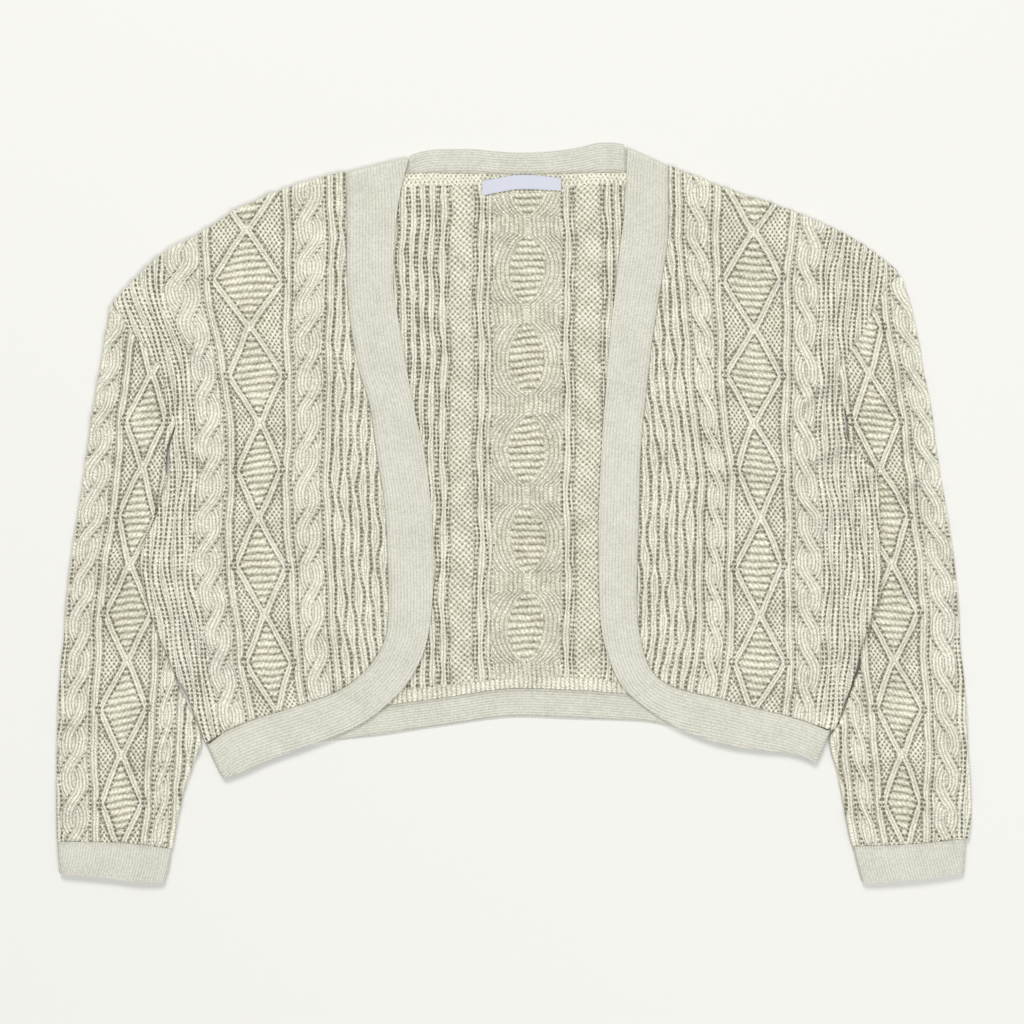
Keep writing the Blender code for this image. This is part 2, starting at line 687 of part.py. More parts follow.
def make_front_band(half, name, collection):
    """A front band: one strip through its sections, folded under at the shoulder and at the side."""
    body = Body(half)
    folds = list(FOLD_TURNS)
    sections = smooth_rows(half.band, 2)
    across = 4
    columns = [("band", k / across, "edge") for k in range(across + 1)]
    bm = stitch_grid(columns, len(sections) + 2 * len(folds))
    inner, outer = [], []
    for vertex in bm.verts:
        share = columns[round(vertex.co.x)][1]
        row = round(vertex.co.y) - len(folds)
        section = sections[min(max(row, 0), len(sections) - 1)]
        out = section.seam_out + (section.free_out - section.seam_out) * share
        y = section.seam_y + (section.free_y - section.seam_y) * share
        if share == 0.0:
            out, y = inside_seam(sections, min(max(row, 0), len(sections) - 1))
        level = FOLD_LEVEL + body.lift(out, y)
        over = max(-row, row - len(sections) + 1, 0)
        turn = ([0.0] + folds)[over]
        angle = math.radians(90 - 180 * turn)
        radius_out = FOLD_IN + (BAND + (WALL - BAND) * turn)
        fold_out = FOLD_IN + BAND
        at_top, at_side = row <= 0, row >= len(sections) - 1
        for places, radius in ((inner, FOLD_IN), (outer, radius_out)):
            reach = radius * math.cos(angle)
            places.append((
                half.sign * (out + (reach - fold_out if at_side else 0.0)),
                y + (reach - fold_out if at_top else 0.0),
                level + radius * math.sin(angle),
            ))
    thicken(bm, inner, outer)
    add_node(bm, name, "rib_knit." + name, collection)


def inside_seam(sections, index):
    """A point on a band's seam edge, half a seam's gap inside the band."""
    row = sections[index]
    long_way = math.hypot(row.free_out - row.seam_out, row.free_y - row.seam_y)
    share = SEAM / 2 / long_way
    return (
        row.seam_out + (row.free_out - row.seam_out) * share,
        row.seam_y + (row.free_y - row.seam_y) * share,
    )


def make_strip(rows, thickness, name, collection):
    """A flat rib strip that lies on the floor: the back's neck band or its hem band."""
    columns = [("strip", 0.0, "edge"), ("strip", 0.5, "edge"), ("strip", 1.0, "edge")]
    bm = stitch_grid(columns, len(rows))
    inner, outer = [], []
    for vertex in bm.verts:
        section = rows[round(vertex.co.y)]
        share = columns[round(vertex.co.x)][1]
        y = section.top + (section.bottom - section.top) * share
        inner.append((section.x, y, 0.0))
        outer.append((section.x, y, thickness))
    thicken(bm, inner, outer)
    add_node(bm, name, "rib_knit." + name, collection)


def back_edges(bodies, x, y):
    """How far out the back reaches at height y, on the side where x is."""
    body = bodies[0] if x < 0 else bodies[1]
    side = body.side_out(y)
    if y > body.half.underarm + 1:
        return side - SEAM / 2
    at_end = y > body.half.underarm - 3 * ROW or y < BACK_CORNER
    return side - FOLD_OUT - SEAM - (BACK_CLEAR if at_end else 0.0)


def back_top(bodies, x):
    """The back's upper edge: the neck seam in the middle, just inside the shoulder folds beside it."""
    body = bodies[0] if x < 0 else bodies[1]
    neck = straight(NECK_STRIP, "x", "bottom", x) - SEAM
    shoulder = body.shoulder_y(max(abs(x), body.half.shoulder[0].out)) - SEAM - (BAND - WALL)
    return neck if NECK_STRIP[0].x < x < NECK_STRIP[-1].x else min(shoulder, neck)


def back_columns():
    """The back's columns as (x, offset, kind, half): named ones in the opening, plain ones at the sides."""
    first, last = BACK_COLUMNS[0], BACK_COLUMNS[-1]
    columns = []
    for x in range(-BACK_PLAIN_FROM, int(first.x - first.half), BACK_PLAIN_PITCH):
        columns.append((x, 0.0, "plain", 0.0))
    for column in BACK_COLUMNS:
        parts = 6 if column.kind == "diamond" else 4 if column.kind == "cable" else 2
        for k in range(parts + 1):
            columns.append((column.x, column.half * (2 * k / parts - 1), column.kind, column.half))
    for x in range(int(last.x + last.half) + 4, BACK_PLAIN_FROM, BACK_PLAIN_PITCH):
        columns.append((x, 0.0, "plain", 0.0))
    return columns


def back_rise(bodies, column, x, y, row):
    """What is raised on the back's wrong side, kept clear of the front bands that lie over it."""
    _, offset, kind, half = column
    body = bodies[0] if x < 0 else bodies[1]
    free = straight(body.free_edge, "y", "out", y)
    clear = BACK_OPENING[0] < y < BACK_OPENING[1] and free - abs(x) > BACK_MARGIN
    if abs(offset) == half or not clear:
        return 0.0
    if kind == "rib":
        return BACK_RISE
    ridge = BACK_RIDGE if round(row) % 2 else BACK_FURROW
    if kind == "cable":
        return BACK_RISE * ridge
    turn = ((BACK_DIAMOND_TIP - y) / BACK_DIAMOND_REPEAT) % 1.0
    reach = half * (1 - abs(2 * turn - 1))
    return BACK_RISE * (ridge if abs(offset) < reach else BACK_GROUND)


def make_back(halves, name, collection):
    """The back: one flat wall on the floor, raised at its sides where they lie over the sleeves."""
    bodies = [Body(half) for half in halves]
    columns = back_columns()
    heights = row_heights(*BACK_ROWS, FIRST_ROW)
    bm = stitch_grid(columns, len(heights))
    inner, outer = [], []
    for vertex in bm.verts:
        column = columns[round(vertex.co.x)]
        x = column[0] + column[1]
        y = read_row(heights, vertex.co.y)
        x, y = back_place(bodies, x, y)
        body = bodies[0] if x < 0 else bodies[1]
        base = body.lift(abs(x), y)
        inner.append((x, y, base))
        outer.append((x, y, base + WALL + back_rise(bodies, column, x, y, vertex.co.y)))
    thicken(bm, inner, outer)
    add_node(bm, name, "cable_knit." + name, collection)


def back_place(bodies, x, y):
    """A point of the back, kept between the neck, the shoulders, the sides and the hem."""
    sign = -1 if x < 0 else 1
    for _ in range(SETTLE):
        out = min(abs(x), back_edges(bodies, x, y))
        kept = min(y, back_top(bodies, sign * out))
        gap = BACK_CLEAR if out > BACK_HIDDEN else SEAM + 0.1
        kept = max(kept, straight(HEM_STRIP, "x", "top", sign * out) + gap)
        if abs(kept - y) < 1e-9:
            break
        y = kept
    return sign * min(abs(x), back_edges(bodies, x, y)), y


def make_label(name, collection):
    """The blank neck label: a thin woven tape on the back's wrong side, a little bowed."""
    sections = smooth_rows(LABEL_TABLE, 6)
    columns = [("label", 0.0, "edge"), ("label", 1.0, "edge")]
    bm = stitch_grid(columns, len(sections))
    inner, outer = [], []
    for vertex in bm.verts:
        section = sections[round(vertex.co.y)]
        y = section.top + (section.bottom - section.top) * columns[round(vertex.co.x)][1]
        inner.append((section.x, y, WALL + SEAM))
        outer.append((section.x, y, WALL + SEAM + LABEL))
    thicken(bm, inner, outer)
    add_node(bm, name, "woven_label", collection)


def main():
    clear_scene()
    collection = bpy.data.collections.new("cropped_cardigan")
    bpy.context.scene.collection.children.link(collection)
    make_back((LEFT, RIGHT), "back_panel", collection)
    for half, side in ((LEFT, "left"), (RIGHT, "right")):
        make_front(half, "front_" + side, collection)
        make_sleeve(half, "sleeve_" + side, collection)
        make_cuff(half, "cuff_" + side, collection)
        make_front_band(half, "front_band_" + side, collection)
    make_strip(NECK_STRIP, UNDER_BAND, "neck_band", collection)
    make_strip(HEM_STRIP, UNDER_BAND, "hem_band_back", collection)
    make_label("neck_label", collection)


main()
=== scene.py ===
# Looks of the cropped open cardigan: cream cotton cable knit, laid flat, its sleeves folded beside the body.
#
# The frame: +Z up, the cloth rests on z = 0, the neck is at +Y and left is -X, as seen from above. Tables are
# in millimetres. A distance "out" is measured from the middle of the body to either side.
# Each piece is a sheet in its own grid, laid out through its table, with the knit raised on its outer side.
# Its UV map "stitch" counts stitches, and "groove" says how far away the nearest dotted line of painted
# shade is, in mm. Its attributes say where face stitches and holes are, and how much shade is painted in
# hollows.

import math
from collections import namedtuple

import bmesh
import bpy
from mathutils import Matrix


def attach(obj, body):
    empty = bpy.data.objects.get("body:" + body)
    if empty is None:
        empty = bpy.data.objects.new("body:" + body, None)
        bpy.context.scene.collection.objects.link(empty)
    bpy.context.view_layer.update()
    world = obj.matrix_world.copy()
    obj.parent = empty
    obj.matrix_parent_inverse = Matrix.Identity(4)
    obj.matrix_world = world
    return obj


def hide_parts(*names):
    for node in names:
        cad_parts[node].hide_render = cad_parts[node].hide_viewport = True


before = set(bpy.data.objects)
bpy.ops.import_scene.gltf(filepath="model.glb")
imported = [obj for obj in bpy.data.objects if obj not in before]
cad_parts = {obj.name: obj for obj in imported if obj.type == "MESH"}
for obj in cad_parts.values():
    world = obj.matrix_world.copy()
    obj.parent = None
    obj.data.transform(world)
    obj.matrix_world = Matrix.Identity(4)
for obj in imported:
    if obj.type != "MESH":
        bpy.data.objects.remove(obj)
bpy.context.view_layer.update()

MM = 0.001

# The cloth
WALL = 2.2
SEAM = 0.08  # between two pieces at a seam, which the stitches close
FOLD_IN = 0.3
FOLD_OUT = FOLD_IN + WALL
FOLD_LEVEL = WALL + FOLD_IN
BAND = 3.0
UNDER_BAND = 2.4
CUFF = 2.5
LABEL = 0.6
LIFT = 5.7  # how far the body's side rises over the strip of sleeve beneath it
LIFT_RAMP = 34.0  # over what width it rises
ARMHOLE_CALM = 9.0  # how far from the armhole seam and the folds the creases die away
UNDERARM_CALM = 40.0  # how far below the underarm the body's side lies without creases
CREASE_GAIN = 1.7
CREASE_REACH = 2.2  # how many of its widths from its line a crease ends
SIDE_FOLD_KNIT = 7.0  # how much knit goes round a front's side fold
FOLD_KNIT = 5.0  # how much goes round its shoulder fold or a sleeve's folds
SLEEVE_FREE = -120.0  # the height below which a sleeve lies clear of the body
BAND_TOP = 262.0  # about where the front bands meet the shoulders
BAND_RUN = 14.0  # how far from its ends a front band moves in, to leave room for its folds
LINE_PAST = 20.0  # how far past its ends a smooth line goes on
SETTLE_STEPS = 40  # tries to find where a column of a piece meets its edge
SHARP_ANGLE = 62.0  # an edge looks sharp where its faces meet at more than this, in degrees
MERGE = 2e-6  # corners of a piece that are nearer than this, in metres, become one

# The knit
FIRST_ROW = 210.0
SLEEVE_ROW = 104.0
CABLE_REPEAT = 28.6
DIAMOND_REPEAT = 71.5
RIB_HALF = 3.0
OUTER_CABLE_HALF = 10.6
OUTER_HIGHER = 9.0  # how much higher the crossings of the outer cable lie
GUTTER = 2.2  # between a rib and a cable
RIB_LINE = 0.4  # between a rib and the dark line beside the purl ground
WAVY_PITCH = 6.8
SIDE_PITCH = 8.4
ROPE_HALF = 2.9
SIDE_FIRST = 1.2  # from the outer cable to the first groove between the side ribs
SIDE_HOLES = 1.9  # from the middle of such a groove to its rows of holes
GARTER_PITCH = 5.3
GARTER_STITCH = 3.3  # width of a stitch along a garter ridge
WALE = 2.6  # width of a face stitch
COURSE = 2.3  # height of a face stitch
PURL_WIDE, PURL_TALL = 3.4, 2.4  # a reverse stitch
BUMP_WIDE, BUMP_TALL = 4.4, 2.2  # a stitch in the bumpy columns of the back
CUFF_STITCH = 2.1, 1.8  # across and along the fine rib
BAND_STITCH = 2.4, 1.8
STRIP_STITCH = 2.0, 1.7
TAPE_THREAD = 0.9, 0.9
HOLE_PITCH = 3.5  # between the small holes along a groove
RIB_RISE = 1.5
CABLE_RISE = 1.3
CROSSING = 0.88  # share of a cable's repeat over which its bands cross
ROPE_RISE = 1.9
GARTER_RISE = 1.1
BACK_RISE = 1.0


def table(kind, *rows):
    """Rows of numbers with the columns that their kind names."""
    return [kind(*row) for row in rows]


# Where the columns of a front or a sleeve lie, out from the middle, at some heights
Columns = namedtuple("Columns", "y rib_d inner_cable rib_c rib_b outer_cable")

LEFT_FRONT_COLUMNS = table(
    Columns,
    (262, 138, 154, 171, 229, 246), (174, 137, 154, 171, 231, 253),
    (99, 139, 154, 170, 216, 231), (24, 140, 154, 171, 212, 228),
    (-36, 139, 153, 169, 213, 230), (-96, 134, 148, 164, 206, 222),
    (-141, 131, 144, 160, 199, 214), (-178, 129, 142, 156, 193, 208),
)
RIGHT_FRONT_COLUMNS = table(
    Columns,
    (262, 121, 133, 151, 213, 229), (174, 124, 136, 152, 204, 218),
    (84, 132, 144, 156, 202, 215), (24, 138, 150, 162, 203, 217),
    (-36, 138, 150, 162, 204, 220), (-96, 136, 149, 161, 205, 219),
    (-141, 130, 142, 155, 203, 215), (-178, 126, 139, 152, 199, 211),
)
LEFT_SLEEVE_COLUMNS = table(
    Columns,
    (150, 225, 236, 248, 286, 303), (75, 233, 244, 256, 293, 310),
    (18, 241, 252, 264, 299, 315), (-50, 246, 257, 268, 307, 321),
    (-101, 248, 259, 270, 312, 325), (-150, 249, 260, 271, 314, 328),
    (-198, 253, 264, 275, 314, 330), (-252, 256, 267, 278, 314, 330),
)
RIGHT_SLEEVE_COLUMNS = table(
    Columns,
    (170, 214, 225, 236, 275, 290), (75, 226, 237, 248, 289, 304),
    (3, 233, 244, 256, 298, 312), (-52, 237, 248, 260, 303, 318),
    (-100, 239, 250, 262, 306, 320), (-150, 244, 255, 266, 308, 322),
    (-198, 249, 260, 271, 308, 322), (-252, 255, 266, 277, 308, 321),
)

# Outlines: each is a smooth line through points (out, y)
Point = namedtuple("Point", "out y")

LEFT_SHOULDER = table(
    Point,
    (60, 268), (80, 266.5), (104, 260.5), (126, 255.5), (161, 246), (206, 228), (236, 209), (266, 192),
    (302, 156.5),
)
RIGHT_SHOULDER = table(
    Point,
    (60, 276), (84, 274), (94, 269), (115, 260), (154, 244), (199, 229), (244, 210), (266, 197),
    (288, 180),
)
# The armhole seam from the shoulder to the underarm, then the side fold down to the hem
LEFT_SIDE = table(
    Point,
    (302, 156.5), (285, 133), (273, 119), (265, 107), (262.5, 95), (261, 82), (254, 67), (258, 46),
    (259.5, 25), (265, 8), (271, -11), (278, -25), (280, -37), (277, -59), (271.5, -76), (259, -109),
    (246, -136), (236, -161), (232, -174),
)
RIGHT_SIDE = table(
    Point,
    (288, 180), (271, 157), (260, 134), (250, 120), (244, 110), (241.5, 95), (246, 81.3), (248, 55),
    (262, 38), (272, 26), (273, 3), (272, -21), (273, -59), (268.5, -73), (260, -96), (251, -129),
    (247, -142), (242, -156), (234, -172),
)

# A front band from the shoulder, round the corner and along the hem to the side
BandSection = namedtuple("BandSection", "seam_out seam_y free_out free_y")

LEFT_BAND = table(
    BandSection,
    (127, 255, 80, 266.5), (126, 227, 88, 227), (126, 174, 91.5, 174),
    (123, 140, 86.5, 140), (117, 107, 81, 107), (109, 80, 76, 80),
    (103, 40, 67, 40), (97.5, 3, 63, 3), (95.5, -38, 61, -38),
    (95, -70, 62.5, -72), (97, -93, 67, -100), (107, -112, 78, -124),
    (121, -126, 95, -143), (138, -136, 119, -160), (164, -145, 152, -173.5),
    (190, -153, 184, -185), (213, -162, 204, -194), (232, -173, 220, -198.5),
)
RIGHT_BAND = table(
    BandSection,
    (115, 260, 84, 274), (115, 234, 83, 236), (114.5, 204, 79.5, 204),
    (110, 174, 76, 174), (103, 129, 71, 129), (98.5, 90, 68, 90),
    (94.5, 50, 65, 50), (93, 0, 63, 0), (91.5, -55, 63, -58),
    (93, -88, 66.5, -96), (100, -114, 79, -128), (112.5, -127.5, 98, -146),
    (130, -134, 124, -162), (154, -139.5, 154, -173), (178, -146, 181, -177.5),
    (203, -152, 206, -180), (237, -163, 227, -187),
)

# A sleeve: its outer fold, and the inner fold, which passes under the body's side and comes out again
SleeveSection = namedtuple("SleeveSection", "y outer inner")

LEFT_SLEEVE_SECTIONS = table(
    SleeveSection,
    (154, 303.5, 0), (129, 307, 0), (99, 312, 0), (67, 317.5, 254.6),
    (46.8, 320, 260.5), (32.5, 322, 261.5), (12, 325, 243), (-25, 331, 228),
    (-66, 336, 224), (-96, 338, 238), (-110.6, 340, 255.5), (-124.9, 341, 254.0),
    (-139.2, 342, 247.5), (-172, 343, 235), (-190, 343.2, 242), (-215, 343.5, 250),
    (-254, 343, 257),
)
RIGHT_SLEEVE_SECTIONS = table(
    SleeveSection,
    (176, 290, 0), (144, 299, 0), (99, 307, 0), (81.3, 311, 246.6),
    (61, 313.5, 249.6), (32.5, 317.5, 247), (4, 323, 240), (-30, 328, 232),
    (-66, 332, 228), (-96, 333.5, 241), (-110.6, 335, 259), (-124.9, 336.5, 254.5),
    (-139.2, 337.5, 250), (-156, 338.5, 243.4), (-171, 339, 236), (-195, 340.5, 241.5),
    (-228, 341.5, 248), (-252, 339, 253),
)
# How much of its lift the body's side has at some heights, and how far in the lifted strip begins
Rise = namedtuple("Rise", "y share strip")

LEFT_RISE = table(
    Rise,
    (64, 0, 250), (38, 1, 252), (12, 1, 239), (-25, 1, 224.5), (-70, 1, 220), (-96, 1, 233),
    (-112, 1, 245), (-144, 0, 240),
)
RIGHT_RISE = table(
    Rise,
    (80, 0, 243), (62, 1, 244), (32, 1, 243), (-30, 1, 229), (-66, 1, 224.5), (-96, 1, 237),
    (-112, 1, 247), (-144, 0, 243),
)

# A cuff: seam and opening, outer and inner fold
CuffSection = namedtuple("CuffSection", "y outer inner")

LEFT_CUFF_SEAM = table(Point, (250, -252.5), (299, -247), (345, -246))
LEFT_CUFF_END = table(Point, (255, -275.5), (274, -277), (308, -273.5), (345, -270))
LEFT_CUFF_SECTIONS = table(CuffSection, (-246, 342.7, 257), (-262, 342, 259), (-278, 341, 262.5))
RIGHT_CUFF_SEAM = table(Point, (250, -250), (290, -248.5), (340, -244))
RIGHT_CUFF_END = table(Point, (255, -275), (264, -277), (298, -275), (340, -269))
RIGHT_CUFF_SECTIONS = table(CuffSection, (-244, 338, 253), (-262, 337, 256.5), (-278, 336, 260))

# Neck and back hem, from left to right: here x is -X to the left
Strip = namedtuple("Strip", "x top bottom")

NECK_STRIP = table(
    Strip,
    (-110, 255, 253.8), (-92, 259.4, 254), (-79.7, 262.3, 254.2), (-79.6, 266.2, 254.2), (-76, 268, 254.3),
    (-70, 270, 254.4), (-62, 271.4, 254.5), (-48, 272, 254.4), (-34, 272, 254.2), (-15, 270.4, 253.8),
    (4, 269.3, 253.6), (20, 269.8, 253.8), (34, 271, 254), (49, 273.4, 254.4), (64, 276.8, 254.8),
    (72, 277, 254.7), (79, 276.2, 254.6), (83.6, 275, 254.5), (83.7, 269.6, 254.4), (96, 264.4, 254.3),
    (108, 259, 254.2),
)
HEM_STRIP = table(
    Strip,
    (-223, -174, -182), (-214, -169.5, -193), (-188, -159, -184), (-165, -153.5, -176),
    (-136, -148.5, -170.5), (-101, -145, -166.5), (-55, -139, -159.5), (4, -131.8, -152.7),
    (40, -133, -154), (94, -137, -156), (124, -142, -162), (154, -146, -170.5), (184, -152, -175),
    (210, -157, -178), (224.5, -162, -181),
)

# The back's wrong side, seen through the open front: columns by their middle, x to the right
BackColumn = namedtuple("BackColumn", "x half kind")

BACK_COLUMNS = table(
    BackColumn,
    (-83.5, 3, "rib"), (-76.5, 3, "rib"), (-69.5, 3, "rib"), (-62.5, 3, "rib"), (-54, 3, "rib"),
    (-40, 9, "cable"), (-25.5, 3, "rib"), (9, 26, "diamond"), (39, 3, "rib"), (55, 10, "cable"),
    (71, 3, "rib"),
)
BACK_DIAMOND_REPEAT = 67.0
BACK_DIAMOND_TIP = 215.0
BACK_CLEAR = 2.0  # between the back and its hem band, where a front covers them
HEM_COVERED = 120.0  # how far out from the middle that begins
NECK_EDGE = 9.5  # how far below the neck band the back is bumpy
HEM_EDGE = 9.0  # how far above the hem band it has short ribs
SHORT_PITCH = 3.6  # between these short ribs
FAR_PITCH = 7.0  # between the ribs beyond its first and last column
LABEL_EDGE = 1.5  # how far round the label nothing is raised

LABEL_TABLE = table(Strip, (-24.5, 248.5, 237.5), (6, 253, 242.3), (34.5, 250.8, 241))

# All tables of one half of the cardigan, and the height of its underarm
Side = namedtuple("Side", "sign columns shoulder side band sleeve_columns sleeve rise seam end cuff underarm")

LEFT = Side(
    -1, LEFT_FRONT_COLUMNS, LEFT_SHOULDER, LEFT_SIDE, LEFT_BAND, LEFT_SLEEVE_COLUMNS,
    LEFT_SLEEVE_SECTIONS, LEFT_RISE, LEFT_CUFF_SEAM, LEFT_CUFF_END, LEFT_CUFF_SECTIONS, 67.0,
)
RIGHT = Side(
    1, RIGHT_FRONT_COLUMNS, RIGHT_SHOULDER, RIGHT_SIDE, RIGHT_BAND, RIGHT_SLEEVE_COLUMNS,
    RIGHT_SLEEVE_SECTIONS, RIGHT_RISE, RIGHT_CUFF_SEAM, RIGHT_CUFF_END, RIGHT_CUFF_SECTIONS, 81.3,
)


class Line:
    """A smooth line through one column of a table, sampled every millimetre so that it reads fast.

    Past its ends it goes on straight for a short way.
    """

    def __init__(self, rows, key, value):
        points = sorted((getattr(row, key), getattr(row, value)) for row in rows)
        spans = list(zip(points, points[1:]))
        slopes = [(high[1] - low[1]) / max(high[0] - low[0], 1e-6) for low, high in spans]
        bends = [slopes[0]]
        for before, after in zip(slopes, slopes[1:]):
            bends.append(0.0 if before * after <= 0 else 2 * before * after / (before + after))
        bends.append(slopes[-1])
        self.start = points[0][0]
        self.values = []
        span = 0
        for step in range(int(points[-1][0] - self.start) + 2):
            at = min(self.start + step, points[-1][0])
            while span < len(spans) - 1 and at > points[span + 1][0]:
                span += 1
            (low, low_value), (high, high_value) = spans[span]
            long = high - low
            share = (at - low) / long
            rest = 1 - share
            self.values.append(
                low_value * (1 + 2 * share) * rest * rest + bends[span] * long * share * rest * rest
                + high_value * (3 - 2 * share) * share * share - bends[span + 1] * long * rest * share * share
            )

    def __call__(self, at):
        place = at - self.start
        index = min(max(int(place), 0), len(self.values) - 2)
        share = min(max(place - index, -LINE_PAST), LINE_PAST)
        return self.values[index] + (self.values[index + 1] - self.values[index]) * share


def clamp(share):
    """A share, kept between 0 and 1."""
    return min(max(share, 0.0), 1.0)


def ease(share):
    """A share that starts and ends gently."""
    share = clamp(share)
    return share * share * (3 - 2 * share)


def spline(before, start, end, after, share):
    """A smooth curve from start to end, one number at a time."""
    return start + 0.5 * share * (
        end - before + share * (
            2 * before - 5 * start + 4 * end - after + share * (3 * (start - end) + after - before)
        )
    )


def smooth_rows(rows, steps):
    """More rows of the same table, on the smooth curve through its rows."""
    ends = [rows[0]] + list(rows) + [rows[-1]]
    kind = type(rows[0])
    finer = []
    for index in range(len(rows) - 1):
        for step in range(steps):
            finer.append(kind(*(spline(*column, step / steps) for column in zip(*ends[index:index + 4]))))
    return finer + [rows[-1]]


# Soft ridges in the cloth where it was smoothed down by hand: from one end to the other, x and y
Crease = namedtuple("Crease", "x1 y1 x2 y2 width height")

BODY_CREASES = table(
    Crease,
    (-262, 150, -205, 92, 8, 3.0), (-236, 172, -182, 118, 10, 2.2),
    (-262, 70, -214, 20, 7, 2.8), (-246, 96, -232, 40, 6, 2.2),
    (-256, -62, -196, -128, 8, 2.6), (-150, 190, -136, 96, 12, 1.2),
    (-128, -20, -112, -96, 10, 1.0), (244, 118, 202, 66, 7, 3.4),
    (252, 92, 214, 98, 6, 3.6), (258, 60, 216, 36, 6, 4.2),
    (262, 26, 222, -8, 7, 3.2), (226, 170, 190, 120, 11, 1.6),
    (250, -92, 204, -138, 8, 2.6), (140, 180, 132, 84, 12, 1.0),
)
SLEEVE_CREASES = table(
    Crease,
    (-312, 92, -270, 44, 8, 2.0), (-330, -20, -280, -52, 10, 1.6),
    (-336, -150, -262, -182, 9, 2.0), (-338, -222, -270, -204, 8, 1.6),
    (304, 120, 262, 74, 7, 3.4), (318, 44, 276, 10, 7, 3.0),
    (330, -60, 276, -92, 11, 1.6), (336, -168, 262, -186, 9, 2.2),
    (334, -226, 266, -214, 8, 1.4),
)


def swell(creases, x, y):
    """How far creases raise the cloth at a place."""
    height = 0.0
    for crease in creases:
        along_x, along_y = crease.x2 - crease.x1, crease.y2 - crease.y1
        long = math.hypot(along_x, along_y)
        share = ((x - crease.x1) * along_x + (y - crease.y1) * along_y) / (long * long)
        if not -0.25 < share < 1.25:
            continue
        aside = ((x - crease.x1) * along_y - (y - crease.y1) * along_x) / long
        aside += 0.16 * crease.width * math.sin(0.11 * share * long + crease.x1)
        reach = aside / crease.width
        if abs(reach) > CREASE_REACH:
            continue
        fade = ease((share + 0.25) / 0.45) * ease((1.25 - share) / 0.45)
        height += crease.height * fade * math.exp(-reach * reach)
    return CREASE_GAIN * height


def drift(out, y):
    """Where a place lies in the even knit: the cloth lies a little stretched here and slack there."""
    return (
        out + 0.8 * math.sin(y / 19 + out / 41) + 0.45 * math.sin(y / 8.3 - out / 27 + 1.0),
        y + 0.9 * math.sin(out / 17 + y / 37) + 0.45 * math.sin(out / 7.1 + 2.0),
    )


class Body:
    """The lines of one half of the cardigan: shoulder, side, front band and how the cloth rises."""

    def __init__(self, half):
        self.half = half
        self.band = smooth_rows(half.band, 8)
        seam = [Point(row.seam_out, row.seam_y) for row in self.band]
        # The band turns its corner where its seam runs as much outwards as downwards
        slant = [abs(end.out - start.out + end.y - start.y) for start, end in zip(seam, seam[1:])]
        bend = 1 + slant.index(min(slant))
        self.corner = seam[bend]
        self.seam_out = Line(seam[:bend + 1], "y", "out")
        self.hem_y = Line(seam[bend:], "out", "y")
        self.free_out = Line([Point(row.free_out, row.free_y) for row in self.band[:bend + 1]], "y", "out")
        self.shoulder = Line(half.shoulder, "out", "y")
        self.side_out = Line(half.side, "y", "out")
        self.share = Line(half.rise, "y", "share")
        self.strip = Line(half.rise, "y", "strip")

    def shoulder_y(self, out):
        return self.shoulder(out) - FOLD_OUT

    def folded(self, y):
        """Below the underarm the body's side is a fold; above it is the armhole seam."""
        return ease((self.half.underarm - 1 - y) / 3)

    def front_side(self, y):
        return self.side_out(y) - SEAM / 2 - (FOLD_OUT - SEAM / 2) * self.folded(y)

    def back_side(self, y):
        return self.side_out(y) - SEAM / 2 - (FOLD_OUT + SEAM + 2.0) * self.folded(y)

    def lift(self, out, y):
        """The body rises over the strip of sleeve that lies under its side."""
        if not self.half.rise[-1].y < y < self.half.rise[0].y:
            return 0.0
        share = (out - self.strip(y) + LIFT_RAMP) / LIFT_RAMP
        return LIFT * self.share(y) * clamp(share)

    def spread(self, share, y):
        """Where a column of a front lies at height y, by its share of the way from the band to the side."""
        seam = self.seam_out(max(y, self.corner.y)) + SEAM
        return seam + (self.front_side(y) - seam) * share


# What the knit is at a place: its stitches, how far it is raised, how much it shows face stitches, how
# open its holes are and how much shade is painted on it in hollows. A zone is a kind of stitches and what
# places them.
Knitted = namedtuple("Knitted", "zone rise face hole hollow")

NO_GROOVE = 99.0  # mm from the nearest groove, where there is none


def plain(hollow=0.0):
    """Level face stitches, with as much painted shade as given."""
    return Knitted(("plain",), 0.0, 1.0, 0.0, hollow)


